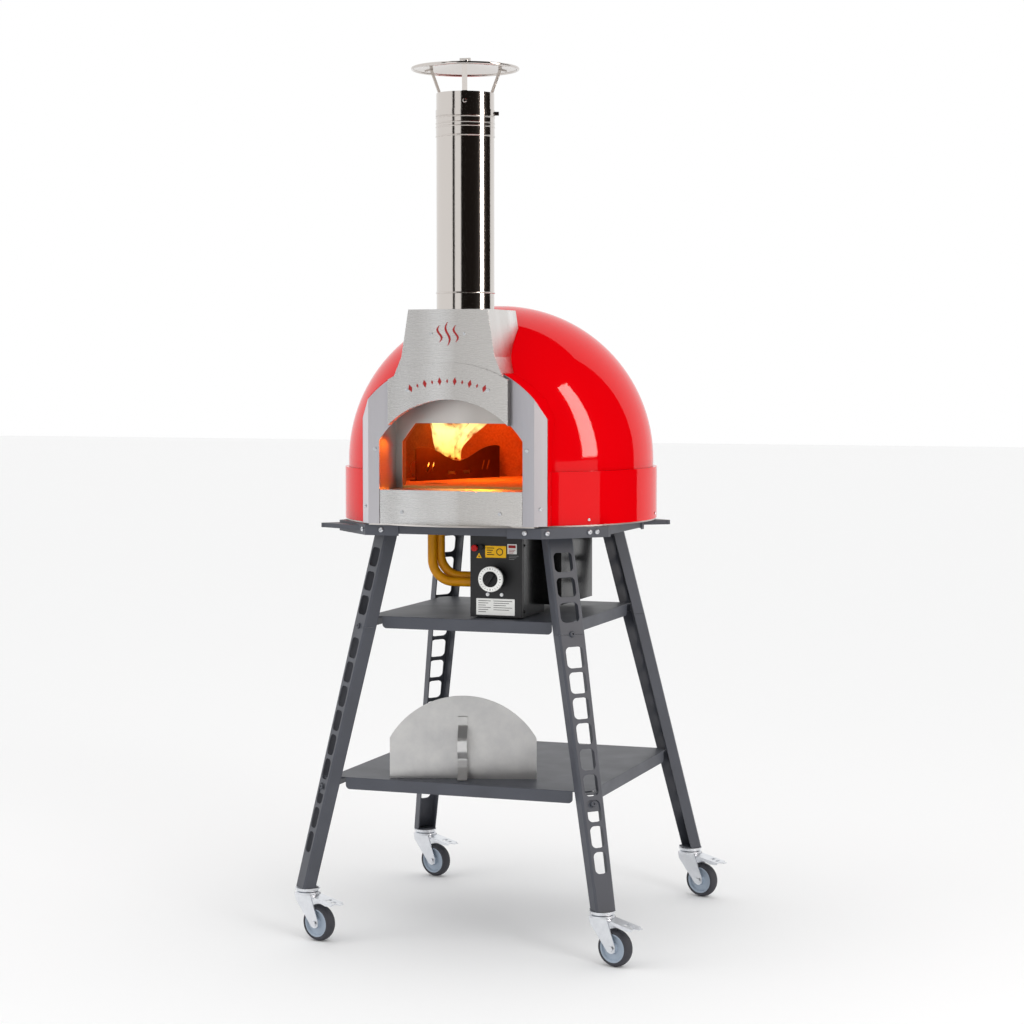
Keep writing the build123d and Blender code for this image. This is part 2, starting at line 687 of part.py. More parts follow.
def hearth_tiles():
    """Cooking floor in four refractory tiles with joints between them."""
    joint = 1.5
    z_low, z_high = OVEN_BASE_Z + BOARD_T + FIT, HEARTH_Z
    disc = drum(BOARD_R, z_low, z_high)
    disc -= pipe_way(z_low - 1, z_high + 1)
    tiles = []
    middle = 40.0
    for x_low, x_high in ((-BOARD_R, -joint / 2), (joint / 2, BOARD_R)):
        for y_low, y_high in ((INNER_FRONT_Y + SHEET + FIT, middle), (middle + joint, BOARD_R)):
            tile = disc & block((x_low, x_high), (y_low, y_high), (z_low, z_high))
            tiles.append(largest(tile))
    return tiles


def chamber_dome():
    """Refractory dome over the hearth, with a front wall round its opening."""
    low = HEARTH_Z + FIT
    top = HEARTH_Z + CHAMBER_WALL + CHAMBER_R
    y_front = INNER_FRONT_Y + SHEET + FIT
    outer = dome_solid(CHAMBER_R + CHAMBER_T, top + CHAMBER_T, low)
    inner = dome_solid(CHAMBER_R, top, low - 9)
    keep = block((-FAR, FAR), (y_front, FAR), (low, FAR))
    wall = upright(arch_face(FRAME_HALF, low, MOUTH_ARC_Z, FRAME_ARC_R - 20), y_front + CHAMBER_T, y_front)
    body = (outer - inner) & keep
    body += wall & outer
    return largest(body - upright(inner_opening(4), y_front + CHAMBER_T + 9, 2 * FRONT_Y))


def inner_opening(grow=0.0):
    """The opening behind the smoke gap: square below, cut corners above."""
    right = [(INNER_HALF + grow, MOUTH_ARC_Z - 60), (INNER_HALF + grow, INNER_SIDE_Z),
             (INNER_TOP_HALF + grow, INNER_TOP_Z + grow)]
    left = [(-x, z) for x, z in reversed(right)]
    return polygon(right + left)


def insulation_blanket():
    """Ceramic fibre blanket over the refractory dome."""
    inside = CHAMBER_R + CHAMBER_T + FIT
    top = HEARTH_Z + CHAMBER_WALL + inside
    low = HEARTH_Z + FIT
    outer = dome_solid(inside + BLANKET_T, top + BLANKET_T, low)
    inner = dome_solid(inside, top, low - 9)
    keep = block((-FAR, FAR), (HOOD_BACK_Y + 2, FAR), (0, FAR))
    return largest((outer - inner) & keep)


def mouth_liner():
    """Folded stainless liner: two jambs and the plate with the inner opening."""
    top_z = MOUTH_ARC_Z + FRAME_ARC_R - 34
    radius = FRAME_ARC_R - 34
    low = MOUTH_ARC_Z + FIT
    plate = upright(arch_face(MOUTH_HALF, low, MOUTH_ARC_Z, radius), INNER_FRONT_Y + SHEET, INNER_FRONT_Y)
    plate -= upright(inner_opening(), 0, 2 * FRONT_Y)
    y_front = FRONT_Y + SHEET + FIT
    spring = MOUTH_ARC_Z + sqrt(radius**2 - MOUTH_HALF**2)
    jamb = block((MOUTH_HALF, MOUTH_HALF + SHEET), (y_front, INNER_FRONT_Y + SHEET), (low, spring))
    body = plate
    for piece in both_sides(jamb):
        body += piece
    return body & between(MOUTH_ARC_Z, top_z + 40)


def front_frame():
    """Brushed front: arched face with the mouth cut out and two folded wings."""
    face = arch_face(FRAME_HALF, OVEN_BASE_Z, FRAME_ARC_Z, FRAME_ARC_R)
    body = upright(face, FRONT_Y + SHEET, FRONT_Y)
    body -= upright(arch_face(MOUTH_HALF, OVEN_BASE_Z - 5, MOUTH_ARC_Z, MOUTH_ARC_R), 0, 2 * FRONT_Y)
    smoke_z = MOUTH_ARC_Z + MOUTH_ARC_R + 28
    body -= block((-HOOD_TOP_HALF, HOOD_TOP_HALF), (FRONT_Y - 9, FRONT_Y + 9), (smoke_z, FAR))
    wing = polygon([(FRAME_HALF - 0.5, FRONT_Y), (FRAME_HALF, FRONT_Y), (FRAME_HALF + WING, FRONT_Y + WING),
                    (FRAME_HALF + WING - SHEET * 0.7, FRONT_Y + WING + SHEET * 0.7),
                    (FRAME_HALF - 0.5, FRONT_Y + SHEET)])
    wing = slab(wing, OVEN_BASE_Z, HOOD_TOP_Z) & upright(front_outline(), 0, 2 * FRONT_Y)
    for piece in both_sides(wing):
        body += piece
    return body


def arch_plate():
    """Plate over the top of the mouth, standing off the frame on folded edges."""
    y_face = FRONT_Y - ARCH_PLATE_STANDOFF - SHEET
    ring = Pos(0, MOUTH_ARC_Z) * (Circle(ARCH_PLATE_R) - Circle(MOUTH_ARC_R))
    low = MOUTH_ARC_Z + sqrt(MOUTH_ARC_R**2 - ARCH_PLATE_HALF**2) - 60
    window = Pos(0, low) * Rectangle(2 * ARCH_PLATE_HALF, 2 * ARCH_PLATE_R, align=(Align.CENTER, Align.MIN))
    face = ring & window
    body = upright(face, y_face + SHEET, y_face)
    lip = Pos(0, MOUTH_ARC_Z) * (Circle(MOUTH_ARC_R + SHEET) - Circle(MOUTH_ARC_R)) & window
    body += upright(lip, FRONT_Y - FIT, y_face)
    side = (ring & window) - Pos(0, low) * Rectangle(
        2 * (ARCH_PLATE_HALF - SHEET), 2 * ARCH_PLATE_R, align=(Align.CENTER, Align.MIN))
    body += upright(side, FRONT_Y - FIT, y_face)
    return largest(body)


def sill_panel():
    """Plate below the mouth with a turned-back top edge."""
    half = MOUTH_HALF - SILL_GAP
    y_face = FRONT_Y + 1.5
    body = block((-half, half), (y_face, y_face + SHEET), (OVEN_BASE_Z, MOUTH_ARC_Z))
    return body + block((-half, half), (y_face, y_face + 14), (MOUTH_ARC_Z - SHEET, MOUTH_ARC_Z))


def threshold():
    """Drilled strip between the sill and the hearth."""
    half = MOUTH_HALF - SILL_GAP
    y_low, y_high = FRONT_Y + 16, INNER_FRONT_Y - FIT
    body = block((-half, half), (y_low, y_high), (MOUTH_ARC_Z - SHEET, MOUTH_ARC_Z))
    body += block((-half, half), (y_low, y_low + SHEET), (OVEN_BASE_Z + FIT, MOUTH_ARC_Z))
    count = 17
    pitch = 2 * (half - 24) / (count - 1)
    for i in range(count):
        body -= drum(5, MOUTH_ARC_Z - 9, MOUTH_ARC_Z + 9, -half + 24 + i * pitch, y_low + 18)
    return body


def hood():
    """Folded smoke hood over the mouth, seated on the dome, with a flue spigot."""
    y_face = FRONT_Y - ARCH_PLATE_STANDOFF + SHEET
    outer = upright(hood_outline(0), HOOD_BACK_Y, y_face) & between(HOOD_FOOT_Z, HOOD_TOP_Z)
    inner = upright(hood_outline(SHEET), HOOD_BACK_Y - SHEET, y_face + SHEET)
    inner &= between(0, HOOD_TOP_Z - SHEET)
    body = outer - inner - drum(FLUE_R - 8, 0, HOOD_TOP_Z + 99, 0, FLUE_Y)
    body -= dome_solid(DOME_R + 2 * FIT, DOME_TOP_Z + 2 * FIT, RING_TOP_Z)
    body -= upright(front_outline(SHELL_T + FIT), 0, FRONT_Y - FIT)
    body += tube(FLUE_R - FLUE_T - FIT, FLUE_R - 8, HOOD_TOP_Z - SHEET, HOOD_TOP_Z + 24, 0, FLUE_Y)
    return largest(body)


def flue_pipe():
    """Polished flue with swaged beads and a thicker top section."""
    body = tube(FLUE_R, FLUE_R - FLUE_T, HOOD_TOP_Z + FIT, FLUE_TOP_Z)
    body += tube(FLUE_R + 0.8, FLUE_R - FLUE_T, FLUE_TOP_Z - SLEEVE_H, FLUE_TOP_Z - 66)
    bead_drops = (65.0, 80.5, 90.0, SLEEVE_H)
    for z in [FLUE_TOP_Z - drop for drop in bead_drops] + [HOOD_TOP_Z + 46]:
        body += Pos(0, 0, z) * Torus(FLUE_R, BEAD_R)
    body -= drum(FLUE_R - FLUE_T, 0, FLUE_TOP_Z + 9)
    return Pos(0, FLUE_Y, 0) * body


CLAMP_Z = FLUE_TOP_Z - 61.0


def clamp_band():
    """Band clamp round the top joint with its screw lugs."""
    r_in = FLUE_R + FIT
    body = tube(r_in + 1.6, r_in, CLAMP_Z, CLAMP_Z + 16)
    lug = block((r_in + 0.6, r_in + 12), (-5, 5), (CLAMP_Z + 3, CLAMP_Z + 13))
    screw = Pos(r_in + 8, 0, CLAMP_Z + 8) * Rot(90, 0, 0) * Cylinder(2.5, 26)
    body += Rot(0, 0, 19.5) * (lug + screw)
    return Pos(0, FLUE_Y, 0) * body


def cap_underside(r):
    """Height of the cap's underside at a radius."""
    return CAP_Z + CAP_RISE * (1 - r / CAP_R)


def rain_cap():
    """Shallow conical cap with a rolled rim and a small clip at its centre."""
    peak = cap_underside(0)
    section = polygon([(0, peak), (CAP_R, CAP_Z), (CAP_R, CAP_Z + CAP_T), (0, peak + CAP_T)])
    body = revolve(Plane.XZ * section, axis=Axis.Z, revolution_arc=360)
    body += Pos(0, 0, CAP_Z + 1) * Torus(CAP_R, 4.0)
    body += drum(11, peak - 1, peak + 4) + Pos(0, 0, peak + 6) * Box(30, 6, 8)
    return Pos(0, FLUE_Y, 0) * body


def cap_straps():
    """Three flat straps from the flue's mouth to the cap, each with a bolt."""
    bend_r = FLUE_R + 28
    end_r = FLUE_R + 46
    skin = FLUE_R + FIT
    foot = FLUE_TOP_Z - 40
    bend_z = cap_underside(bend_r) - FIT
    end_z = cap_underside(end_r) - FIT
    inner = [(skin, foot), (skin, FLUE_TOP_Z + 2), (bend_r, bend_z), (end_r, end_z)]
    outer = [(end_r, end_z - STRAP_T), (bend_r + 1, bend_z - STRAP_T - 1), (skin + STRAP_T, FLUE_TOP_Z + 1),
             (skin + STRAP_T, foot)]
    strap = upright(polygon(inner + outer), STRAP_W / 2, -STRAP_W / 2)
    bolt = Pos(skin + STRAP_T, 0, FLUE_TOP_Z - 26) * Rot(0, 90, 0) * button_head(5.5, 4)
    pieces = []
    for i in range(3):
        turn = -70.5 + 120 * i
        pieces.append(Pos(0, FLUE_Y, 0) * Rot(0, 0, turn) * (strap + bolt))
    return pieces


# ---------------------------------------------------------------- burner
def guard_frame():
    """Local frame on the guard's foot: local X along the guard, local Y behind it."""
    start = Vector(*GUARD_FROM)
    run = Vector(*GUARD_TO) - start
    heading = degrees(atan2(run.Y, run.X))
    return Pos(start.X, start.Y, HEARTH_Z + FIT) * Rot(0, 0, heading), run.length


def burner_guard():
    """Steel guard with a waved top, slanting cut-outs and a folded end and foot."""
    place, length = guard_frame()
    high = GUARD_H
    low = GUARD_H * 0.58
    crests = [(0, high), (length * 0.22, high * 0.94), (length * 0.5, low), (length * 0.78, high * 0.92)]
    wave = Spline(*crests, (length, high))
    face = make_face(wave + Polyline((length, high), (length, 0), (0, 0), (0, high)))
    for share in (0.14, 0.2, 0.8, 0.86):
        face -= Pos(length * share, high * 0.42) * Rot(0, 0, 70) * SlotOverall(30, 6)
    for share in (0.42, 0.6):
        face -= Pos(length * share, high * 0.22) * Rectangle(30, 9)
    body = upright(face, SHEET, 0)
    foot = block((0, length), (0, 26), (0, SHEET))
    return place * (body + foot)


def burner():
    """Ribbon burner: capped tube with a row of ports, on a riser from the hoses."""
    place, length = guard_frame()
    run = length * 0.66
    height = BURNER_R + 10
    bar = Pos(length * 0.5, BURNER_BACK, height) * Rot(0, 90, 0) * Cylinder(BURNER_R, run)
    for i in range(14):
        x = length * 0.5 - run / 2 + 12 + i * (run - 24) / 13
        bar -= Pos(x, BURNER_BACK, height + BURNER_R) * Cylinder(2.5, 16)
    for x in (length * 0.5 - run * 0.38, length * 0.5 + run * 0.38):
        bar += block((x - 6, x + 6), (BURNER_BACK - 8, BURNER_BACK + 8), (0.2, height - BURNER_R + 3))
    return place * bar


# ---------------------------------------------------------------- controls
BOX_Z = MID_SHELF_Z + BOX_FOOT
BOX_X1 = BOX_X0 + BOX_W


def control_panel():
    """Front plate of the control box with short folded edges."""
    body = block((BOX_X0, BOX_X1), (BOX_FRONT_Y, BOX_FRONT_Y + 16), (BOX_Z, BOX_TOP_Z))
    body -= block((BOX_X0 + SHEET, BOX_X1 - SHEET), (BOX_FRONT_Y + SHEET, BOX_FRONT_Y + 99),
                  (BOX_Z + SHEET, BOX_TOP_Z - SHEET))
    body = fillet(body.edges().filter_by(Axis.Z).group_by(Axis.Y)[0], 1.2)
    body -= Pos(KNOB_X, BOX_FRONT_Y, KNOB_Z) * Rot(90, 0, 0) * Cylinder(KNOB_STEM_R + 0.06, 40)
    return body - Pos(BUTTON_X, BOX_FRONT_Y, BUTTON_Z) * Rot(90, 0, 0) * Cylinder(BUTTON_R - 1.9, 40)


def control_box():
    """Wrap-round case behind the panel, on short feet."""
    y0, y1 = BOX_FRONT_Y + 16 + FIT, BOX_FRONT_Y + BOX_DEPTH
    body = block((BOX_X0, BOX_X1), (y0, y1), (BOX_Z, BOX_TOP_Z))
    inside_z = BOX_Z + SHEET, BOX_TOP_Z - SHEET
    body -= block((BOX_X0 + SHEET, BOX_X1 - SHEET), (y0 - 9, y1 - SHEET), inside_z)
    body -= hose_holes()
    for x in (BOX_X0 + 16, BOX_X1 - 16):
        for y in (y0 + 16, y1 - 16):
            body += drum(7, MID_SHELF_Z + FIT, BOX_Z + 1, x, y)
    for z in (BOX_Z + 16, BOX_TOP_Z - 28):
        head = Pos(BOX_X1, BOX_FRONT_Y + 21, z) * Rot(0, 90, 0) * button_head(4, 2.5)
        body += head
    return body


def burner_housing():
    """Closed case under the tray that holds the gas train, with the gas inlet at its back."""
    x0 = BOX_X0 + HOUSING_SHIFT
    x1 = x0 + HOUSING_W
    y0 = BOX_FRONT_Y + BOX_DEPTH + FIT
    y1 = y0 + HOUSING_D
    z1 = TRAY_DECK_Z - FIT
    case = block((x0, x1), (y0, y1), (HOUSING_FOOT_Z, z1))
    inside = block((x0 + SHEET, x1 - SHEET), (y0 + SHEET, y1 - SHEET), (HOUSING_FOOT_Z + SHEET, z1 - SHEET))
    stub = Pos(INLET_X, y1 - 1, INLET_Z) * Rot(-90, 0, 0) * drum(INLET_R, 0, INLET_LENGTH + 1)
    return case - inside + chamfer(stub.faces().sort_by(Axis.Y)[-1].edges(), 0.8)


def gas_valve():
    """Control valve inside the box: body, knob stem and inlet boss."""
    y0 = BOX_FRONT_Y + 30
    body = block((KNOB_X - 24, KNOB_X + 24), (y0, y0 + 70), (KNOB_Z - 30, KNOB_Z + 30))
    nose = Pos(KNOB_X, BOX_FRONT_Y + 24, KNOB_Z) * Rot(90, 0, 0) * Cylinder(12, 16)
    pipe = Pos(KNOB_X, BOX_FRONT_Y + 118, KNOB_Z) * Rot(90, 0, 0) * Cylinder(9, 40)
    return body + nose + pipe


def knob_disc(radius, near, far):
    """A disc round the knob's axis, between two distances in front of the panel."""
    middle = BOX_FRONT_Y - (near + far) / 2
    return Pos(KNOB_X, middle, KNOB_Z) * Rot(90, 0, 0) * Cylinder(radius, far - near)


def control_knob():
    """Control knob: black body behind the dial, boss with a grip bar, and stem."""
    stem = knob_disc(KNOB_STEM_R, -16, 4)
    body = knob_disc(KNOB_R - 4, 2, KNOB_REACH - 9)
    body = chamfer(body.faces().sort_by(Axis.Y)[-1].edges(), 3)
    boss = knob_disc(KNOB_GRIP_R, KNOB_REACH - 12, KNOB_REACH + 1)
    boss = fillet(boss.faces().sort_by(Axis.Y)[0].edges(), 2)
    half = KNOB_GRIP_R - 4
    face = BOX_FRONT_Y - KNOB_REACH
    grip = block((KNOB_X - 5.5, KNOB_X + 5.5), (face - 12, face + 2), (KNOB_Z - half, KNOB_Z + half))
    grip = fillet(grip.edges().filter_by(Axis.Z), 3)
    turned = Pos(KNOB_X, 0, KNOB_Z) * Rot(0, 35, 0) * Pos(-KNOB_X, 0, -KNOB_Z) * grip
    return stem + body + boss + turned


def dial_ring():
    """White graduated ring that turns with the knob."""
    ring = knob_disc(KNOB_R, KNOB_REACH - 9 + FIT, KNOB_REACH)
    ring = chamfer(ring.faces().sort_by(Axis.Y)[0].edges(), 1.5)
    return ring - knob_disc(KNOB_GRIP_R + FIT, 0, KNOB_REACH + 20)


def reset_button():
    """Round push button with its stem through the panel."""
    cap = Pos(BUTTON_X, BOX_FRONT_Y - BUTTON_TRAVEL - 5, BUTTON_Z) * Rot(90, 0, 0) * Cylinder(BUTTON_R, 6)
    cap = fillet(cap.faces().sort_by(Axis.Y)[0].edges(), 2)
    stem = Pos(BUTTON_X, BOX_FRONT_Y + 2, BUTTON_Z) * Rot(90, 0, 0) * Cylinder(BUTTON_R - 2, 19)
    return cap + stem


def panel_fittings():
    """Lamp lenses, black igniter boss, and the three blank plates on the panel."""
    y = BOX_FRONT_Y - FIT
    pieces = []
    for x in (48.8, 89.3):
        lens = Pos(x, y - 2, 952.3) * Rot(90, 0, 0) * Cylinder(3.6, 4)
        pieces.append(fillet(lens.faces().sort_by(Axis.Y)[0].edges(), 1.5))
    boss = Pos(32, y - 5, BUTTON_Z + 3) * Rot(90, 0, 0) * Cylinder(7, 10)
    pieces.append(chamfer(boss.faces().sort_by(Axis.Y)[0].edges(), 1.5))
    pieces.append(block((42, 102), (y - 0.8, y), (1053, 1085)))
    pieces.append(block((106, 133), (y - 0.8, y), (1064, 1091)))
    pieces.append(block((16, 127), (y - 0.8, y), (896, 941)))
    return pieces


def hose_route(share):
    """Centre line of a hose: down through the tray, round and into the box."""
    x = HOSE_X + HOSE_PAIR[0] * share
    y = HOSE_Y + HOSE_PAIR[1] * share
    z = HOSE_IN_Z + HOSE_PAIR[2] * share
    return [(x, y, HEARTH_Z - 50), (x, y, z), (BOX_X0 + 22, y, z)]


def gas_hoses():
    """Two yellow hoses from the control box up through the tray to the burner."""
    hoses = []
    for share in (0, 1):
        path = hose_route(share)
        line = FilletPolyline(*path, radius=HOSE_BEND)
        start = Plane(origin=path[0], x_dir=(1, 0, 0), z_dir=(0, 0, -1))
        hoses.append(sweep(start * Circle(HOSE_R), path=line))
    return hoses


def hose_holes():
    """Holes in the box's left side where the hoses go in."""
    holes = []
    for share in (0, 1):
        end = hose_route(share)[-1]
        holes.append(Pos(BOX_X0, end[1], end[2]) * Rot(0, 90, 0) * Cylinder(HOSE_R + FIT, 30))
    return holes[0] + holes[1]


# ---------------------------------------------------------------- door
def door_place(piece):
    """Stand a piece drawn upright at the origin on the lower shelf."""
    return Pos(*DOOR_CENTRE, LOWER_SHELF_Z + DOOR_LIFT_GAP) * Rot(0, 0, DOOR_ANGLE) * piece


def door_plate():
    """Half-moon door with a hemmed lower edge."""
    rise = DOOR_H - DOOR_SIDE_H
    arc_r = (DOOR_HALF**2 + rise**2) / (2 * rise)
    face = arch_face(DOOR_HALF, 0, DOOR_H - arc_r, arc_r)
    return door_place(upright(face, DOOR_T / 2, -DOOR_T / 2))


def door_handle():
    """Waved flat-bar handle, welded high and low on the door's face."""
    width, thick = 26.0, 4.0
    face_y = -DOOR_T / 2 - FIT
    crest = face_y - HANDLE_REACH
    top = HANDLE_H
    back = face_y - thick / 2
    upper = [(back, top), (back, top - 26), (crest, top - 56), (crest + 6, top - 92)]
    lower = [(face_y - 18, top - 112), (face_y - 22, 34), (face_y - 44, 2.2)]
    spine = upper + lower
    line = Plane.YZ * FilletPolyline(*spine, radius=[8, 12, 16, 12, 12])
    start = Plane(origin=(0, spine[0][0], spine[0][1]), x_dir=(1, 0, 0), z_dir=(0, 0, -1))
    bar = sweep(start * Rectangle(width, thick), path=line)
    return door_place(bar)


# ---------------------------------------------------------------- fasteners
def facing(x, y, z, radius, height=2.6):
    """A screw head on a face that looks to the front."""
    return Pos(x, y - FIT, z) * Rot(90, 0, 0) * button_head(radius, height)


def front_screws():
    """Screws of the hood, arch plate, frame, sill and ring."""
    plate_y = FRONT_Y - ARCH_PLATE_STANDOFF - SHEET
    hood_y = FRONT_Y - ARCH_PLATE_STANDOFF + SHEET
    heads = []
    for side in (-1, 1):
        heads.append(facing(side * 114, plate_y, 1509.5, SCREW_R))
        heads.append(facing(side * 47, hood_y, 1658, SCREW_R * 0.8))
        heads.append(facing(side * 216, FRONT_Y, 1350.5, SCREW_R))
        heads.append(facing(side * 139.5, FRONT_Y + 1.5, 1182, SCREW_R))
        wing = Pos(side * (FRAME_HALF + WING / 2), FRONT_Y + WING / 2, 1196) * Rot(0, 0, side * 45)
        heads.append(wing * facing(0, 0, 0, SCREW_R))
    for angle in (7, 52, 97, 142, 173, -38):
        turn = Rot(0, 0, angle) * Pos(RING_R + FIT, 0, OVEN_BASE_Z + 14) * Rot(0, 90, 0)
        heads.append(turn * button_head(4, 2.4))
    return heads


def tray_bolts():
    """Bolts through the corner plates into the tray."""
    heads = []
    z = TRAY_TOP_Z - 14
    skin = CORNER_PLATE_T + FIT
    near, far = tray_corner(True)
    slope = Vector(*far) - Vector(*near)
    turn = degrees(atan2(slope.Y, slope.X))
    for side in (-1, 1):
        heads.append(facing(side * 205, TRAY_FRONT_Y - skin, z, BOLT_R * 0.8, 5))
    for share in (0.08, 0.72, 0.83):
        at = Vector(*near) + slope * share
        place = Pos(at.X, at.Y, z) * Rot(0, 0, turn) * Pos(0, -skin - FIT, 0)
        head = place * Rot(90, 0, 0) * button_head(BOLT_R * 0.8, 5)
        heads.append(head)
        if share < 0.1:
            heads.append(mirror(head, Plane.YZ))
    return heads


# ---------------------------------------------------------------- all the nodes
def build():
    """Every node's shape by name."""
    nodes = {
        "dome_shell": dome_shell(),
        "base_ring": base_ring(),
        "floor_pan": floor_pan(),
        "floor_board": floor_board(),
        "hearth_tiles": group(hearth_tiles()),
        "chamber_dome": chamber_dome(),
        "insulation_blanket": insulation_blanket(),
        "mouth_liner": mouth_liner(),
        "front_frame": front_frame(),
        "arch_plate": arch_plate(),
        "sill_panel": sill_panel(),
        "threshold": threshold(),
        "hood": hood(),
        "flue_pipe": flue_pipe(),
        "clamp_band": clamp_band(),
        "rain_cap": rain_cap(),
        "cap_straps": group(cap_straps()),
        "burner_guard": burner_guard(),
        "burner": burner(),
        "stand_tray": stand_tray(),
        "corner_plates": group(corner_plates()),
        "mid_shelf": shelf(MID_SHELF_Z),
        "lower_shelf": shelf(LOWER_SHELF_Z),
        "control_panel": control_panel(),
        "control_box": group([control_box(), burner_housing()]),
        "gas_valve": gas_valve(),
        "control_knob": control_knob(),
        "dial_ring": dial_ring(),
        "reset_button": reset_button(),
        "panel_fittings": group(panel_fittings()),
        "gas_hoses": group(gas_hoses()),
        "door_plate": door_plate(),
        "door_handle": door_handle(),
        "fasteners": group(front_screws() + tray_bolts()),
    }
    brackets = []
    heads = []
    for corner in LEG_SIDES:
        nodes[f"upper_leg_{corner}"] = upper_leg(corner)
        nodes[f"lower_leg_{corner}"] = lower_leg(corner)
        nodes[f"caster_fork_{corner}"] = at_stem(corner, caster_fork())
        nodes[f"wheel_{corner}"] = group([at_stem(corner, wheel_core())])
        nodes[f"tyre_{corner}"] = at_stem(corner, wheel_tyre())
        nodes[f"brake_pedal_{corner}"] = at_stem(corner, brake_pedal())
        brackets += shelf_bracket(corner, MID_SHELF_Z) + shelf_bracket(corner, LOWER_SHELF_Z)
        heads.append(at_stem(corner, caster_head()))
    nodes["shelf_brackets"] = group(brackets)
    nodes["caster_heads"] = group(heads)
    return nodes


if __name__ == "__main__":
    for name, shape in build().items():
        export_step(shape, f"parts/{name}.step")
        print(f"{name:28s} {len(shape.solids()):3d} solids {shape.volume / 1000:9.1f} cm3")
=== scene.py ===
# %% [markdown]
# A domed gas pizza oven stands on a wheeled stand of slotted steel legs.  Its shapes come ready
# made and measured, so this lesson is about finishes: enamelled paint, brushed and polished
# stainless steel, powder coat, rubber, fired clay and fire.  We load the ready shapes first.

import math
import random

import bmesh
import bpy
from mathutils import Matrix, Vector


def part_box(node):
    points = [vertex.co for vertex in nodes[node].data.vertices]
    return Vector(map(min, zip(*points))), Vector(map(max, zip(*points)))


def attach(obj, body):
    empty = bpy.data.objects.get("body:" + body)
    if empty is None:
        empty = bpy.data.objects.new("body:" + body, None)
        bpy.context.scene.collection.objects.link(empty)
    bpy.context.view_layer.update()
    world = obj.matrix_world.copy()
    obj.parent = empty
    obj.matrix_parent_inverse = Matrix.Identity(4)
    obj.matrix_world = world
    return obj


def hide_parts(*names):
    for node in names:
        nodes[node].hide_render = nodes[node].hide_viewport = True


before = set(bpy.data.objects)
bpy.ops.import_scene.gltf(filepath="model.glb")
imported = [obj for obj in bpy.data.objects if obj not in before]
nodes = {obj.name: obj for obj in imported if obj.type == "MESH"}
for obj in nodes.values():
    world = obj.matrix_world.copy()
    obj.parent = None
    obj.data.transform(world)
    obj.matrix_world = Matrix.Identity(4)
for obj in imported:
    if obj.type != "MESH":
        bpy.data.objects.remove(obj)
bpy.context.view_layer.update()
MM = 0.001

# %% [markdown]
# Colours are easiest to choose as the six-digit codes of a paint chart, but a renderer adds up
# light, so each code is turned into linear light once, here.  The second helper adds one shader
# node with its settings and its links, which keeps every material below short enough to read.

# %% Two small helpers


def colour(code):
    """A paint-chart code such as '#C8000F' as linear red, green, blue and alpha."""
    channels = [int(code[i:i + 2], 16) / 255 for i in (1, 3, 5)]
    linear = [c / 12.92 if c <= 0.04045 else ((c + 0.055) / 1.055) ** 2.4 for c in channels]
    return (*linear, 1.0)


def add(tree, kind, inputs=None, **settings):
    """Add a node, set it up, and plug values or other nodes' outputs into its inputs."""
    node = tree.nodes.new(kind)
    for name, value in settings.items():
        setattr(node, name, value)
    for socket, value in (inputs or {}).items():
        if isinstance(value, bpy.types.NodeSocket):
            tree.links.new(value, node.inputs[socket])
        else:
            node.inputs[socket].default_value = value
    return node


def per_metre(size_mm):
    """How many times a pattern of this size repeats in a metre."""
    return 1000.0 / size_mm


print("red enamel in linear light:", [round(c, 3) for c in colour("#C8000F")])

# %% [markdown]
# Every material starts the same way: an empty shader tree with one surface shader and the place
# of each point in metres.  The place comes from the object's own coordinates, so a pattern stays
# on a wheel or a door when it moves.

# %% Start a material


def start(name, **surface):
    """A new material with its tree, its surface shader and its coordinates."""
    material = bpy.data.materials.new(name)
    material.use_nodes = True
    tree = material.node_tree
    tree.nodes.clear()
    values = {socket.replace("_", " "): value for socket, value in surface.items()}
    shader = add(tree, "ShaderNodeBsdfPrincipled", values)
    add(tree, "ShaderNodeOutputMaterial", {"Surface": shader.outputs["BSDF"]})
    place = add(tree, "ShaderNodeTexCoord").outputs["Object"]
    return material, tree, shader, place


def vary(tree, shader, pattern, socket, low, high):
    """Let a grey pattern move one of the shader's inputs between two values."""
    spread = add(tree, "ShaderNodeMapRange", {"Value": pattern, "To Min": low, "To Max": high})
    tree.links.new(spread.outputs["Result"], shader.inputs[socket])


def tint(tree, shader, pattern, code_a, code_b):
    """Let a grey pattern move the base colour between two colours."""
    ends = {0: pattern, 6: colour(code_a), 7: colour(code_b)}
    blend = add(tree, "ShaderNodeMix", ends, data_type="RGBA")
    tree.links.new(blend.outputs[2], shader.inputs["Base Color"])


def relief(tree, shader, pattern, height_mm, strength=1.0, edge_mm=0.0):
    """Raise the surface by a grey pattern; edge_mm rounds sharp folds a little."""
    bump = add(tree, "ShaderNodeBump",
               {"Height": pattern, "Distance": height_mm * MM, "Strength": strength})
    if edge_mm:
        edge = add(tree, "ShaderNodeBevel", {"Radius": edge_mm * MM}, samples=4)
        tree.links.new(edge.outputs["Normal"], bump.inputs["Normal"])
    tree.links.new(bump.outputs["Normal"], shader.inputs["Normal"])


print("materials can be started")

# %% [markdown]
# The dome and its ring are spun steel under sprayed and baked red enamel.  Enamel is a coloured
# layer under a clear hard gloss, so the shader gets a strong clear coat.  Sprayed paint is never
# flat: it dries in shallow dimples a few millimetres apart, called orange peel, and they are what
# makes the lamp's reflection wobble.

# %% Red enamel, sprayed and baked
ORANGE_PEEL = 3.0
PAINT_DRIFT = 260.0


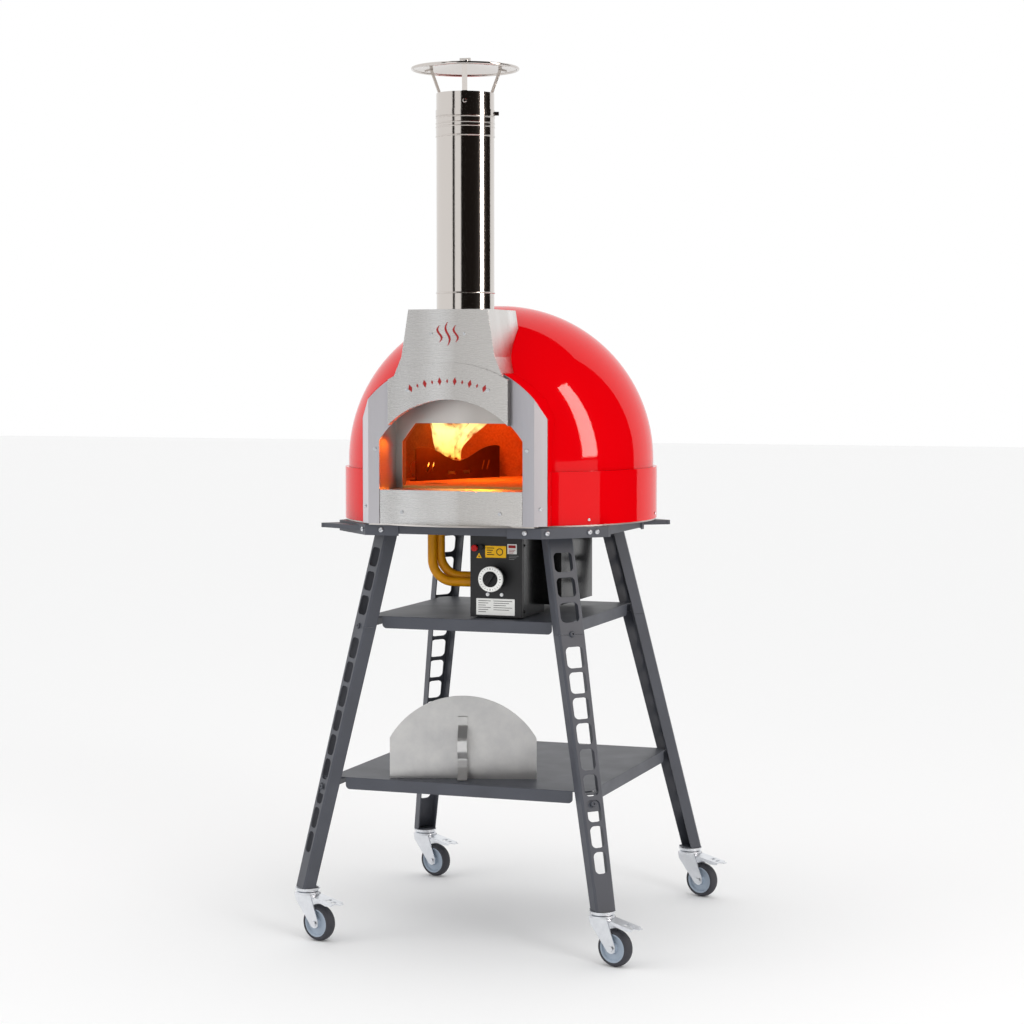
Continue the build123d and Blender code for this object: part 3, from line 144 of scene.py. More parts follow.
def red_enamel():
    material, tree, shader, place = start("red enamel, baked", Roughness=0.5, Specular_IOR_Level=0.0,
                                          Coat_Weight=0.78, Coat_Roughness=0.05, Coat_IOR=1.42)
    peel = add(tree, "ShaderNodeTexNoise",
               {"Vector": place, "Scale": per_metre(ORANGE_PEEL), "Detail": 1.0})
    cloud = add(tree, "ShaderNodeTexNoise",
                {"Vector": place, "Scale": per_metre(PAINT_DRIFT), "Detail": 2.0})
    tint(tree, shader, cloud.outputs["Fac"], "#E2000A", "#D80008")
    relief(tree, shader, peel.outputs["Fac"], 0.02)
    return material


enamel = red_enamel()
print(enamel.name, "orange peel every", ORANGE_PEEL, "mm")

# %% [markdown]
# The front, the hood and the sill are folded from stainless sheet that was brushed along one
# direction.  Brushing leaves scratches that are long one way and hair-thin the other, so the
# pattern is noise that is squeezed across the grain and stretched along it.  Wide upright bands
# in the colour are a painted reflection of the room.  The same function serves the level front,
# the upright frame and the duller liner, because they differ only in tone, polish and the way
# the grain runs.  The frame's darker tone is painted shade, and the liner's light tone is painted
# light that lifts the shade in the recessed mouth.

# %% Stainless steel, brushed
SCRATCH_WIDTH = 0.9
SCRATCH_LENGTH = 60.0
# The next two set the painted reflection bands: their size across in mm, and how often they repeat in a
# metre upright.
PAINTED_REFLECTION_BAND = 150.0
PAINTED_REFLECTION_UPRIGHT = 0.4


def stainless(name, code_a, code_b, roughness, along="X", width=SCRATCH_WIDTH, edge_mm=0.8):
    """Brushed sheet: fine scratches, and wide upright bands of painted reflection in the colour."""
    material, tree, shader, place = start(name, Metallic=1.0)
    scale = [per_metre(width)] * 3
    scale["XYZ".index(along)] = per_metre(SCRATCH_LENGTH)
    grain_place = add(tree, "ShaderNodeMapping", {"Vector": place, "Scale": scale})
    grain = add(tree, "ShaderNodeTexNoise",
                {"Vector": grain_place.outputs["Vector"], "Scale": 1.0, "Detail": 3.0})
    # Painted reflection: wide upright bands in the base colour stand in for the room mirrored in the sheet.
    level = per_metre(PAINTED_REFLECTION_BAND)
    reflection_band_place = add(tree, "ShaderNodeMapping",
                     {"Vector": place, "Scale": (level, level, PAINTED_REFLECTION_UPRIGHT)})
    wave = add(tree, "ShaderNodeTexNoise",
               {"Vector": reflection_band_place.outputs["Vector"], "Scale": 1.0, "Detail": 1.0})
    wide = add(tree, "ShaderNodeMapRange",
               {"Value": wave.outputs["Fac"], "From Min": 0.42, "From Max": 0.68})
    both = add(tree, "ShaderNodeMath", {0: grain.outputs["Fac"], 1: 0.35}, operation="MULTIPLY")
    mixed = add(tree, "ShaderNodeMath", {0: wide.outputs["Result"], 1: both.outputs[0]}, operation="ADD")
    tint(tree, shader, mixed.outputs[0], code_a, code_b)
    vary(tree, shader, grain.outputs["Fac"], "Roughness", roughness - 0.06, roughness + 0.06)
    relief(tree, shader, grain.outputs["Fac"], 0.008, 0.6, edge_mm)
    return material


front_steel = stainless("stainless sheet, brushed level", "#FFFFFF", "#D6D3D0", 0.27)
# The frame's darker tone is painted shade: it is the same brushed sheet as the front.
frame_steel_painted_shade = stainless("stainless sheet, brushed upright, painted shade", "#D8D6DA", "#BAB8BE", 0.36, along="Z")
# The liner's light tone is painted light: it was lightened to lift the shade in the recessed mouth, and the
# threshold, burner and floor pan share it.
liner_steel_painted_light = stainless("stainless sheet, mill finish, painted light", "#F0ECE8", "#C4BEB9", 0.38, along="Y")
print(front_steel.name, "with scratches", SCRATCH_WIDTH, "by", SCRATCH_LENGTH, "mm")

# %% [markdown]
# The flue, its bands and its cap are polished.  Polishing nearly removes the grain, so the steel
# mirrors the room in upright stripes, and only faint rolling lines run up the tube.

# %% Stainless steel, polished
ROLLING_LINE = 2.0


def polished():
    material, tree, shader, place = start("stainless tube, polished", Metallic=1.0,
                                          Base_Color=colour("#CFC9C4"))
    across = per_metre(ROLLING_LINE)
    lines_place = add(tree, "ShaderNodeMapping", {"Vector": place, "Scale": (across, across, 2.0)})
    lines = add(tree, "ShaderNodeTexNoise",
                {"Vector": lines_place.outputs["Vector"], "Scale": 1.0, "Detail": 2.0})
    vary(tree, shader, lines.outputs["Fac"], "Roughness", 0.07, 0.15)
    relief(tree, shader, lines.outputs["Fac"], 0.004, 0.5)
    return material


flue_steel = polished()
print(flue_steel.name, "with rolling lines", ROLLING_LINE, "mm wide")

# %% [markdown]
# Legs, shelves, tray and ears are folded from plain steel sheet and powder coated in graphite
# grey.  The powder melts into a skin that is slightly pebbled and softly rounded at each fold.

# %% Graphite powder coat
PEBBLE = 1.4


def powder_coat(name, code_a, code_b, roughness):
    material, tree, shader, place = start(name, IOR=1.5)
    pebble = add(tree, "ShaderNodeTexNoise", {"Vector": place, "Scale": per_metre(PEBBLE), "Detail": 2.0})
    cloud = add(tree, "ShaderNodeTexNoise", {"Vector": place, "Scale": per_metre(90), "Detail": 4.0})
    tint(tree, shader, cloud.outputs["Fac"], code_a, code_b)
    vary(tree, shader, cloud.outputs["Fac"], "Roughness", roughness - 0.05, roughness + 0.08)
    relief(tree, shader, pebble.outputs["Fac"], 0.05, 0.7, 1.5)
    return material


graphite = powder_coat("steel, graphite powder coat", "#4C4F58", "#404249", 0.46)
black_coat = powder_coat("steel, black powder coat", "#1C1C1E", "#121214", 0.38)
gloss_black = powder_coat("steel, gloss black enamel", "#0C0C0D", "#070708", 0.16)
print(graphite.name, "pebbled every", PEBBLE, "mm")

# %% [markdown]
# Zinc plating on the caster forks, pedals and screws is a bright, slightly blue metal with a
# cloudy bloom.  The loose door is bare rolled sheet: a greyer metal whose tone drifts in soft
# patches.  Both are metals with a wide soft cloud in colour and polish.

# %% Zinc plate and rolled door sheet


def clouded_metal(name, code_a, code_b, cloud_mm, low, high):
    material, tree, shader, place = start(name, Metallic=1.0)
    cloud = add(tree, "ShaderNodeTexNoise", {"Vector": place, "Scale": per_metre(cloud_mm), "Detail": 6.0,
                                             "Roughness": 0.6})
    speck = add(tree, "ShaderNodeTexNoise", {"Vector": place, "Scale": per_metre(1.2), "Detail": 1.0})
    tint(tree, shader, cloud.outputs["Fac"], code_a, code_b)
    vary(tree, shader, cloud.outputs["Fac"], "Roughness", low, high)
    relief(tree, shader, speck.outputs["Fac"], 0.012, 0.5, 0.6)
    return material


zinc = clouded_metal("steel, zinc plated", "#F2F4F8", "#D2D5DA", 22, 0.24, 0.42)
door_sheet = clouded_metal("steel sheet, rolled", "#F0EFEC", "#C8C8CA", 60, 0.36, 0.52)
brass = clouded_metal("brass, cast", "#B8964A", "#92753A", 12, 0.3, 0.45)
blued_steel = clouded_metal("steel, blued by heat", "#6E4632", "#4E3226", 40, 0.45, 0.6)
print(zinc.name, "and", door_sheet.name)

# %% [markdown]
# Fired clay, cast refractory, insulating board and fibre blanket are all grainy and matt.  They
# differ in grain and colour: the tiles and the chamber are sandy and heat-browned, the board is
# pale and fine, and the blanket is white and fluffy.

# %% Fired clay, board and fibre


def grainy(name, code_a, code_b, grain_mm, height_mm):
    material, tree, shader, place = start(name, Roughness=0.92, IOR=1.45)
    grain = add(tree, "ShaderNodeTexNoise", {"Vector": place, "Scale": per_metre(grain_mm), "Detail": 5.0})
    scorch = add(tree, "ShaderNodeTexNoise", {"Vector": place, "Scale": per_metre(110), "Detail": 4.0})
    blend = add(tree, "ShaderNodeMath", {0: grain.outputs["Fac"], 1: scorch.outputs["Fac"]},
                operation="MULTIPLY")
    spread = add(tree, "ShaderNodeMapRange",
                 {"Value": blend.outputs[0], "From Min": 0.1, "From Max": 0.45})
    tint(tree, shader, spread.outputs["Result"], code_a, code_b)
    relief(tree, shader, grain.outputs["Fac"], height_mm)
    return material


firebrick = grainy("firebrick tile", "#B4763C", "#D69A58", 3.0, 0.5)
refractory = grainy("refractory, cast", "#8A4A1E", "#B5662C", 6.0, 0.8)
board = grainy("calcium silicate board", "#CFC9BC", "#E4DFD4", 1.5, 0.2)
fibre = grainy("ceramic fibre blanket", "#E2E0DB", "#F4F3F0", 4.0, 1.5)
print(firebrick.name, refractory.name, board.name, fibre.name)

# %% [markdown]
# The last group is moulded: black knob and case parts, the white dial, the red button, the
# wheels' grey centres, their rubber tyres and the yellow hoses.  Moulded plastic has a fine
# leathery grain from its mould.  Rubber is darker and duller and picks up pale dust.

# %% Plastics and rubber
MOULD_GRAIN = 0.8


def moulded(name, code_a, code_b, roughness, grain_mm=MOULD_GRAIN, height_mm=0.02):
    material, tree, shader, place = start(name, IOR=1.38)
    grain = add(tree, "ShaderNodeTexNoise", {"Vector": place, "Scale": per_metre(grain_mm), "Detail": 2.0})
    dust = add(tree, "ShaderNodeTexNoise", {"Vector": place, "Scale": per_metre(28), "Detail": 5.0})
    tint(tree, shader, dust.outputs["Fac"], code_a, code_b)
    vary(tree, shader, dust.outputs["Fac"], "Roughness", roughness - 0.05, roughness + 0.07)
    relief(tree, shader, grain.outputs["Fac"], height_mm)
    return material


black_plastic = moulded("phenolic knob, black", "#121213", "#1B1B1C", 0.34)
white_plastic = moulded("dial ring, white", "#EFEFEC", "#E3E3E0", 0.32)
red_plastic = moulded("button, red", "#C81010", "#B30C0C", 0.25)
wheel_grey = moulded("nylon wheel centre", "#A8B4C2", "#98A4B2", 0.42)
tyre_rubber = moulded("rubber tyre, moulded", "#34343A", "#44444A", 0.62, 1.6, 0.05)
hose_yellow = moulded("gas hose, yellow jacket", "#EBA000", "#D08800", 0.42, 2.0, 0.03)
label_yellow = moulded("label film, yellow", "#FFC400", "#F5B800", 0.4)
label_white = moulded("label film, white", "#E9E9E6", "#DCDCD9", 0.4)
ink_black = moulded("printed ink, black", "#101010", "#181818", 0.5)
ink_red = moulded("printed ink, dark red", "#A32020", "#8F1A1A", 0.45)
ink_grey = moulded("printed ink, grey", "#8B8B8B", "#7C7C7C", 0.5)
print("moulded finishes with a grain of", MOULD_GRAIN, "mm")

# %% [markdown]
# Each ready piece now gets its finish.  Pieces are listed by finish, and the ones that repeat at
# the four corners are found by the start of their names.

# %% Give every ready piece its finish
FINISHES = [
    (enamel, ["dome_shell", "base_ring"]),
    (front_steel, ["arch_plate", "hood", "sill_panel"]),
    (frame_steel_painted_shade, ["front_frame"]),
    (liner_steel_painted_light, ["mouth_liner", "threshold", "burner", "floor_pan"]),
    (blued_steel, ["burner_guard"]),
    (flue_steel, ["flue_pipe", "clamp_band", "rain_cap", "cap_straps"]),
    (graphite, ["stand_tray", "corner_plates", "mid_shelf", "lower_shelf", "shelf_brackets",
                "upper_leg", "lower_leg"]),
    (black_coat, ["control_panel"]),
    (gloss_black, ["control_box"]),
    (zinc, ["caster_heads", "caster_fork", "brake_pedal", "fasteners"]),
    (door_sheet, ["door_plate", "door_handle"]),
    (brass, ["gas_valve"]),
    (firebrick, ["hearth_tiles"]),
    (refractory, ["chamber_dome"]),
    (board, ["floor_board"]),
    (fibre, ["insulation_blanket"]),
    (black_plastic, ["control_knob"]),
    (white_plastic, ["dial_ring"]),
    (red_plastic, ["reset_button"]),
    (wheel_grey, ["wheel_"]),
    (tyre_rubber, ["tyre_"]),
    (hose_yellow, ["gas_hoses"]),
]
for finish, starts in FINISHES:
    for name, piece in nodes.items():
        if name.startswith(tuple(starts)):
            piece.data.materials.clear()
            piece.data.materials.append(finish)
print(sum(bool(piece.data.materials) for piece in nodes.values()), "ready pieces have a finish")

# %% [markdown]
# New pieces are built from points and faces.  This helper makes the object, gives it a finish and
# lets it ride on the body that carries it.  A flat shape with a little thickness is common here,
# so a second helper cuts one out of sheet.

# %% Build new pieces


def build(name, points, faces, material, body, smooth=False):
    """One mesh piece from points and faces, riding on a body."""
    mesh = bpy.data.meshes.new(name)
    mesh.from_pydata([tuple(p) for p in points], [], faces)
    bm = bmesh.new()
    bm.from_mesh(mesh)
    bmesh.ops.recalc_face_normals(bm, faces=bm.faces)
    bm.to_mesh(mesh)
    bm.free()
    mesh.materials.append(material)
    piece = bpy.data.objects.new(name, mesh)
    bpy.context.scene.collection.objects.link(piece)
    for polygon in mesh.polygons:
        polygon.use_smooth = smooth
    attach(piece, body)
    return piece


def cut_out(outlines, place, thick):
    """Points and faces of flat shapes with thickness; place lifts (across, up, out) into space."""
    points, faces = [], []
    for outline in outlines:
        count, first = len(outline), len(points)
        points += [place(a, b, 0.0) for a, b in outline]
        points += [place(a, b, thick) for a, b in outline]
        faces.append([first + i for i in range(count)])
        faces.append([first + count + i for i in reversed(range(count))])
        for i in range(count):
            j = (i + 1) % count
            faces.append([first + i, first + j, first + count + j, first + count + i])
    return points, faces


print("ready to build")

# %% [markdown]
# The hood carries a plain sign for heat: three rising waves, cut from thin red sheet.  A wave is a
# strip that follows a sine curve and narrows to both ends.

# %% Three heat waves on the hood
hood_low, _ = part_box("hood")
WAVE_HEIGHT = 62 * MM
WAVE_SWING = 6 * MM
WAVE_WIDTH = 6.5 * MM
WAVE_PITCH = 23 * MM
BADGE_Z = hood_low[2] + 117 * MM


def wave(centre, height, steps=28):
    """Outline of one upright wave that tapers to both ends."""
    left, right = [], []
    for i in range(steps + 1):
        t = i / steps
        across = centre + WAVE_SWING * math.sin(t * 2.0 * math.pi)
        half = WAVE_WIDTH / 2 * math.sin(math.pi * (0.08 + 0.84 * t))
        up = (t - 0.5) * height
        left.append((across - half, up))
        right.append((across + half, up))
    return left + right[::-1]


waves = [wave(i * WAVE_PITCH, WAVE_HEIGHT * (1.0 if i == 0 else 0.72)) for i in (-1, 0, 1)]
points, faces = cut_out(waves, lambda a, b, out: (a, hood_low[1] - 0.1 * MM - out, BADGE_Z + b),
                        0.8 * MM)
build("hood_badge", points, faces, ink_red, "oven")
print("badge centred", round(BADGE_Z, 3), "m up")

# %% [markdown]
# A plain row of lozenges, large and small in turn, follows the arch in the same red.

# %% Lozenges along the arch
arch_low, arch_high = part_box("arch_plate")
ARCH_CENTRE_Z = arch_high[2] - 341 * MM
BAND_RADIUS = 292 * MM
LOZENGES = 11
LOZENGE_LONG = 11 * MM
LOZENGE_WIDE = 5.5 * MM


def lozenge(angle, scale):
    """Outline of one lozenge standing across the arch at an angle from its crown."""
    out = Vector((math.sin(angle), math.cos(angle)))
    side = Vector((out.y, -out.x))
    middle = out * BAND_RADIUS
    corners = (out * LOZENGE_LONG, side * LOZENGE_WIDE, -out * LOZENGE_LONG, -side * LOZENGE_WIDE)
    return [tuple(middle + corner * scale) for corner in corners]


shapes = []
for i in range(LOZENGES):
    share = i / (LOZENGES - 1) - 0.5
    shapes.append(lozenge(share * math.radians(42), 1.0 if i % 2 == 0 else 0.55))
points, faces = cut_out(shapes, lambda a, b, out: (a, arch_low[1] - 0.1 * MM - out, ARCH_CENTRE_Z + b),
                        0.6 * MM)
build("arch_band", points, faces, ink_red, "oven")
print(LOZENGES, "lozenges")

# %% [markdown]
# The plates and lamps on the control panel come in several colours, so they are rebuilt as one
# piece per colour and stand for the plain ready piece.  Print is only bars and a simple sign, with
# no words.

# %% Plates, lamps and print on the control panel
panel_low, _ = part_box("control_panel")
FACE_Y = panel_low[1]
LEFT_X = panel_low[0]
FOOT_Z = panel_low[2]


def rounded(x0, x1, z0, z1, radius=1.5 * MM, steps=4):
    """Outline of a rounded rectangle on the panel, measured from its lower left corner."""
    outline = []
    for cx, cz, first in ((x1 - radius, z1 - radius, 0), (x0 + radius, z1 - radius, 90),
                          (x0 + radius, z0 + radius, 180), (x1 - radius, z0 + radius, 270)):
        for i in range(steps + 1):
            angle = math.radians(first + 90 * i / steps)
            outline.append((cx + radius * math.cos(angle), cz + radius * math.sin(angle)))
    return outline


def disc(x, z, radius, steps=32):
    """Outline of a disc on the panel."""
    turns = [2 * math.pi * i / steps for i in range(steps)]
    return [(x + radius * math.cos(a), z + radius * math.sin(a)) for a in turns]


def on_panel(lift):
    """A place function for shapes that lie on the panel, lifted off it a little."""
    return lambda a, b, out: (LEFT_X + a, FACE_Y - lift - out, FOOT_Z + b)


def plate(name, outlines, material, lift_mm, thick_mm):
    """One colour of the panel's print or plates."""
    shapes_points, shapes_faces = cut_out(outlines, on_panel(lift_mm * MM), thick_mm * MM)
    return build(name, shapes_points, shapes_faces, material, "oven")


def box_mm(x0, x1, z0, z1):
    return rounded(x0 * MM, x1 * MM, z0 * MM, z1 * MM)


def bars(x0, x1, z_top, count, pitch, high, shorten=0.0):
    """Short printed bars that stand for lines of text."""
    rows = []
    for i in range(count):
        end = x1 - shorten * (i % 3)
        z = (z_top - i * pitch) * MM
        rows.append([(x0 * MM, z), (end * MM, z), (end * MM, z + high * MM), (x0 * MM, z + high * MM)])
    return rows


plate("panel_plate_yellow", [box_mm(44, 104, 163, 195)], label_yellow, 0.2, 0.8)
plate("panel_plate_white", [box_mm(108, 135, 174, 201)], label_white, 0.2, 0.8)
plate("panel_plate_data", [box_mm(18, 129, 6, 51)], label_white, 0.2, 0.8)
black_print = bars(49, 70, 188, 4, 6.0, 2.2, 4.0)
black_print += bars(24, 60, 44, 6, 6.0, 1.4, 7.0)
black_print += bars(68, 122, 44, 5, 6.0, 1.4, 9.0)
black_print += [disc(86 * MM, 179 * MM, 10 * MM)]
plate("panel_print_black", black_print, ink_black, 1.05, 0.15)
plate("panel_print_yellow", [disc(86 * MM, 179 * MM, 7.5 * MM)], label_yellow, 1.25, 0.1)
red_print = [box_mm(111, 132, 190, 198)] + bars(112, 131, 184, 3, 4.0, 1.6, 3.0)
plate("panel_print_red", red_print, ink_red, 1.05, 0.15)
sign = [[(18 * MM, 161 * MM), (34 * MM, 161 * MM), (26 * MM, 175 * MM)]]
plate("panel_sign", sign, label_yellow, 0.1, 0.4)
plate("panel_sign_dot", [disc(26 * MM, 165.5 * MM, 2.2 * MM)], ink_black, 0.55, 0.15)
plate("panel_marks", bars(112, 140, 168, 3, 4.5, 1.2, 6.0), ink_grey, 0.1, 0.15)
LAMP_Z = 62.3 * MM
LAMP_XS = (50.8 * MM, 91.3 * MM)
lamps = plate("panel_lamps", [disc(x, LAMP_Z, 3.4 * MM) for x in LAMP_XS], white_plastic, 0.2, 3.2)
plate("panel_bezels", [disc(x, LAMP_Z, 5.0 * MM) for x in LAMP_XS], zinc, 0.1, 1.4)
boss = plate("igniter_boss", [disc(34 * MM, 191.5 * MM, 7.0 * MM)], black_plastic, 0.2, 9.5)
for piece in (lamps, boss):
    bevel = piece.modifiers.new("soft edge", "BEVEL")
    bevel.width = 1.2 * MM
    bevel.segments = 3
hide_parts("panel_fittings")
print("panel dressed")

# %% [markdown]
# The dial ring carries ticks like a kitchen timer.  They lie on the ring's face and turn with the
# knob, so they ride on the knob's body.

# %% Ticks on the dial ring
ring_low, ring_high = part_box("dial_ring")
DIAL_X = (ring_low[0] + ring_high[0]) / 2
DIAL_Z = (ring_low[2] + ring_high[2]) / 2
DIAL_R = (ring_high[0] - ring_low[0]) / 2
ticks = []
TICKS = 24
for i in range(TICKS):
    angle = 2 * math.pi * i / TICKS
    out = Vector((math.sin(angle), math.cos(angle)))
    side = Vector((out.y, -out.x)) * (0.9 if i % 6 == 0 else 0.45) * MM
    inner, outer = out * DIAL_R * (0.74 if i % 6 == 0 else 0.8), out * DIAL_R * 0.9
    ticks.append([tuple(inner - side), tuple(outer - side), tuple(outer + side), tuple(inner + side)])
points, faces = cut_out(ticks, lambda a, b, out: (DIAL_X + a, ring_low[1] - 0.05 * MM - out, DIAL_Z + b),
                        0.15 * MM)
build("dial_ticks", points, faces, ink_black, "knob")
print(TICKS, "ticks on a ring of", round(DIAL_R / MM, 1), "mm radius")

# %% [markdown]
# A gas flame is hot gas that glows: amber at its foot, pale yellow in the middle where it burns
# hottest, and orange at its torn tips.  It has no surface, but a few thin closed tongues that overlap, each
# partly see-through, add up to a soft body of light.  Their glow fades with height.

# %% Flame material
_, burner_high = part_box("burner")
FLAME_FOOT = Vector((-0.196, 0.107, burner_high[2] - 0.004))
FLAME_TALL = 0.2
FLAME_SPREAD = 0.2
FLAME_GLOW = 2.0
FLAME_TEAR = 34.0              # size in mm of the torn patches
FLAME_TIP_SHARE = 0.25         # how much of the foot's density is left at the tip


def flame_glow(name, density):
    material = bpy.data.materials.new(name)
    material.use_nodes = True
    tree = material.node_tree
    tree.nodes.clear()
    place = add(tree, "ShaderNodeTexCoord").outputs["Object"]
    height = add(tree, "ShaderNodeSeparateXYZ", {0: place}).outputs["Z"]
    rise = add(tree, "ShaderNodeMapRange", {"Value": height, "From Min": FLAME_FOOT.z,
                                            "From Max": FLAME_FOOT.z + FLAME_TALL}).outputs["Result"]
    ramp = add(tree, "ShaderNodeValToRGB", {"Fac": rise})
    ramp.color_ramp.elements[0].color = colour("#FFAE3C")
    ramp.color_ramp.elements[1].color = colour("#F58A1C")
    middle = ramp.color_ramp.elements.new(0.45)
    middle.color = colour("#FFE08A")
    noise = add(tree, "ShaderNodeTexNoise", {"Vector": place, "Scale": per_metre(FLAME_TEAR), "Detail": 3.0})
    torn = add(tree, "ShaderNodeMapRange",
               {"Value": noise.outputs["Fac"], "From Min": 0.4, "From Max": 0.6})
    fade = add(tree, "ShaderNodeMapRange",
               {"Value": rise, "To Min": density, "To Max": density * FLAME_TIP_SHARE})
    veil = add(tree, "ShaderNodeMath", {0: fade.outputs["Result"], 1: torn.outputs["Result"]},
               operation="MULTIPLY")
    glow = add(tree, "ShaderNodeEmission", {"Color": ramp.outputs["Color"], "Strength": FLAME_GLOW})
    clear = add(tree, "ShaderNodeBsdfTransparent")
    mix = add(tree, "ShaderNodeMixShader", {0: veil.outputs[0], 1: clear.outputs[0], 2: glow.outputs[0]})
    add(tree, "ShaderNodeOutputMaterial", {"Surface": mix.outputs[0]})
    return material


flame_material = flame_glow("gas flame", 0.8)
print("flame stands at", [round(v, 3) for v in FLAME_FOOT])

# %% Flame tongues
TONGUES = 13
RINGS = 20
SIDES = 20
random.seed(11)


def tongue(foot, tall, thick, lean, twist):
    """Rings of a flame tongue: a narrow foot that opens towards a torn, leaning tip."""
    points, faces = [], []
    for i in range(RINGS):
        t = i / (RINGS - 1)
        radius = thick * (0.45 + 1.1 * t) * math.sqrt(max(0.02, math.sin(math.pi * (0.12 + 0.86 * t))))
        centre = foot + Vector((lean.x * t ** 1.7, lean.y * t ** 1.7, tall * t))
        centre.x += 0.006 * math.sin(6.0 * t + twist)
        for k in range(SIDES):
            angle = 2 * math.pi * k / SIDES
            ripple = 1.0 + 0.2 * math.sin(3 * angle + 6 * t + twist)
            points.append(centre + Vector((math.cos(angle), math.sin(angle), 0)) * radius * ripple)
    for i in range(RINGS - 1):
        for k in range(SIDES):
            j = (k + 1) % SIDES
            faces.append([i * SIDES + k, i * SIDES + j, (i + 1) * SIDES + j, (i + 1) * SIDES + k])
    faces.append(list(range(SIDES)))
    faces.append([(RINGS - 1) * SIDES + k for k in reversed(range(SIDES))])
    return points, faces


for i in range(TONGUES):
    share = i / (TONGUES - 1) - 0.5
    foot = FLAME_FOOT + Vector((0.035 * share, 0.05 * share, 0))
    foot += Vector((0, 0, 0.012 * random.random()))
    tall = FLAME_TALL * random.uniform(0.7, 1.0)
    lean = Vector((FLAME_SPREAD * (share + 0.12) + 0.02 * random.uniform(-1, 1),
                   0.03 * random.uniform(-1, 1), 0))
    points, faces = tongue(foot, tall, 0.0125 * random.uniform(0.8, 1.25), lean, random.uniform(0, 6))
    build(f"flame_tongue_{i}", points, faces, flame_material, "oven", True)
print(TONGUES, "tongues of flame")

# %% [markdown]
# The studio is a white floor in a white room.  Polished steel and gloss paint show whatever
# stands round them, and in an all-white room they would look like paper.  So dark cards stand in
# front and overhead, seen only in reflections: they deepen the red and draw the dark stripes on the
# flue.  A tall bright panel on the right makes the long highlight on the dome, and a low dim one
# lifts the tone of its foot.

# %% Floor and room


def quad(name, corners, material, only_reflected=False):
    """A flat four-cornered piece of the studio; some are seen only in reflections."""
    mesh = bpy.data.meshes.new(name)
    mesh.from_pydata(corners, [], [(0, 1, 2, 3)])
    mesh.materials.append(material)
    piece = bpy.data.objects.new(name, mesh)
    bpy.context.scene.collection.objects.link(piece)
    if only_reflected:
        piece.visible_camera = False
        piece.visible_diffuse = False
        piece.visible_shadow = False
        piece.visible_transmission = False
    return piece


floor_material, *_ = start("studio floor", Base_Color=colour("#F6F6F6"), Roughness=0.8)
FLOOR_REACH = 40.0
quad("studio_floor", [(-FLOOR_REACH, -FLOOR_REACH, 0), (FLOOR_REACH, -FLOOR_REACH, 0),
                      (FLOOR_REACH, FLOOR_REACH, 0), (-FLOOR_REACH, FLOOR_REACH, 0)], floor_material)
world = bpy.data.worlds.new("pale room")
bpy.context.scene.world = world
world.use_nodes = True
background = world.node_tree.nodes["Background"]
background.inputs["Color"].default_value = (1.0, 1.0, 1.0, 1.0)
background.inputs["Strength"].default_value = 1.0
bpy.context.scene.view_settings.view_transform = "Standard"
print("floor and room")

# %% Cards and a bright panel for the reflections


def glowing(name, hex_code, strength):
    """A surface that gives an even light and reflects none."""
    material = bpy.data.materials.new(name)
    material.use_nodes = True
    tree = material.node_tree
    tree.nodes.clear()
    glow = add(tree, "ShaderNodeEmission", {"Color": colour(hex_code), "Strength": strength})
    add(tree, "ShaderNodeOutputMaterial", {"Surface": glow.outputs[0]})
    return material


def card(name, turn_from, turn_to, distance, low, high, material):
    """An upright card between two turns round the oven; 0 is in front of the mouth, 90 its right."""
    corners = []
    for turn, z in ((turn_from, low), (turn_to, low), (turn_to, high), (turn_from, high)):
        angle = math.radians(turn)
        corners.append((distance * math.sin(angle), -distance * math.cos(angle), z))
    return quad(name, corners, material, True)


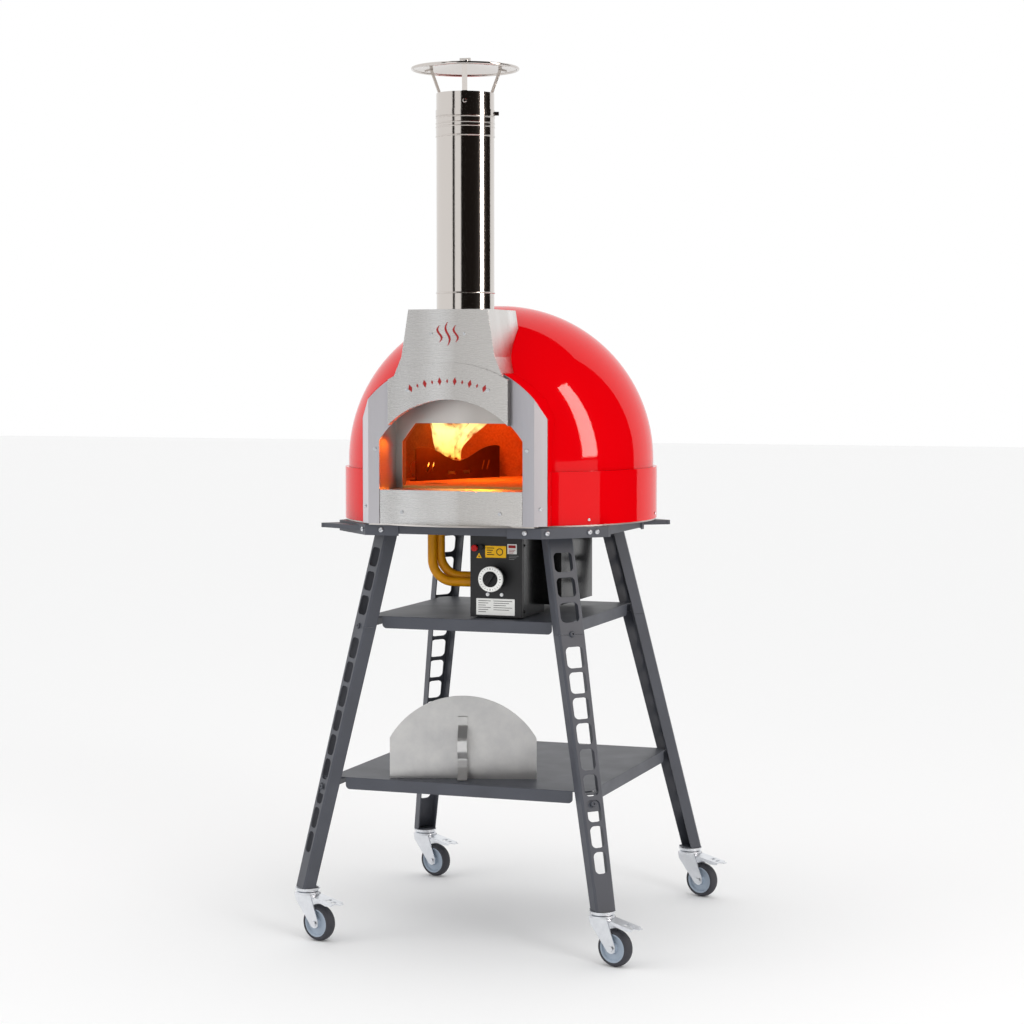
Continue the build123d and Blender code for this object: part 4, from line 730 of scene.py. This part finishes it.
CARD_DISTANCE = 7.0
CARD_TURNS = [3, 30, 55, 80, 108, 135]
CARD_TOP = 15.0
black_card = glowing("black card", "#1E1A18", 1.0)
bright_panel = glowing("bright panel", "#FFF4EC", 14.0)
soft_panel = glowing("soft panel", "#FFFFFF", 0.8)
for i, (turn_from, turn_to) in enumerate(zip(CARD_TURNS, CARD_TURNS[1:])):
    card(f"card_front_{i}", turn_from, turn_to, CARD_DISTANCE, 0.0, CARD_TOP, black_card)
card("card_thin", -30, -21, CARD_DISTANCE, 0.0, 8.0, black_card)
card("panel_right", 80, 93, 5.1, 1.5, 7.0, bright_panel)
card("panel_low", 60, 93, 5.0, 0.0, 1.4, soft_panel)
quad("card_over", [(-2, -9, 9), (9, -9, 9), (9, 4.5, 9), (-2, 4.5, 9)], black_card, True)
print("cards and panel")

# %% Lamps


def lamp(name, place, target, size, power, hex_code="#FFFFFF"):
    """A soft rectangular lamp at a place, aimed at a target."""
    data = bpy.data.lights.new(name, "AREA")
    data.shape = "RECTANGLE"
    data.size, data.size_y = size
    data.energy = power
    data.color = colour(hex_code)[:3]
    piece = bpy.data.objects.new(name, data)
    bpy.context.scene.collection.objects.link(piece)
    piece.location = place
    piece.rotation_euler = (Vector(target) - Vector(place)).to_track_quat("-Z", "Y").to_euler()
    piece.visible_glossy = False
    return piece


lamp("key", (4.2, -3.2, 3.4), (0, 0, 1.2), (1.5, 2.5), 60)
lamp("fill", (-4.5, -3.5, 3.2), (0, 0, 1.2), (2.5, 2.5), 25)
FIRE_OFFSET = Vector((0.11, -0.03, 0.12))
fire = bpy.data.lights.new("fire_light", "POINT")
fire.energy = 4.0
fire.color = colour("#FF7A1E")[:3]
fire.shadow_soft_size = 0.05
fire_piece = bpy.data.objects.new("fire_light", fire)
bpy.context.scene.collection.objects.link(fire_piece)
fire_piece.location = FLAME_FOOT + FIRE_OFFSET
print("lamps set")

# %% Camera
CAMERA_PLACE = (2.2611, -6.2907, 1.5752)
CAMERA_TILT = 3.54
CAMERA_TURN = 19.51
CAMERA_LENS = 83.42
CAMERA_SENSOR = 36.0
camera_data = bpy.data.cameras.new("camera")
camera_data.lens = CAMERA_LENS
camera_data.sensor_width = CAMERA_SENSOR
camera = bpy.data.objects.new("camera", camera_data)
bpy.context.scene.collection.objects.link(camera)
camera.location = CAMERA_PLACE
camera.rotation_euler = (math.radians(90 - CAMERA_TILT), 0, math.radians(CAMERA_TURN))
bpy.context.scene.camera = camera
print("camera", CAMERA_PLACE)
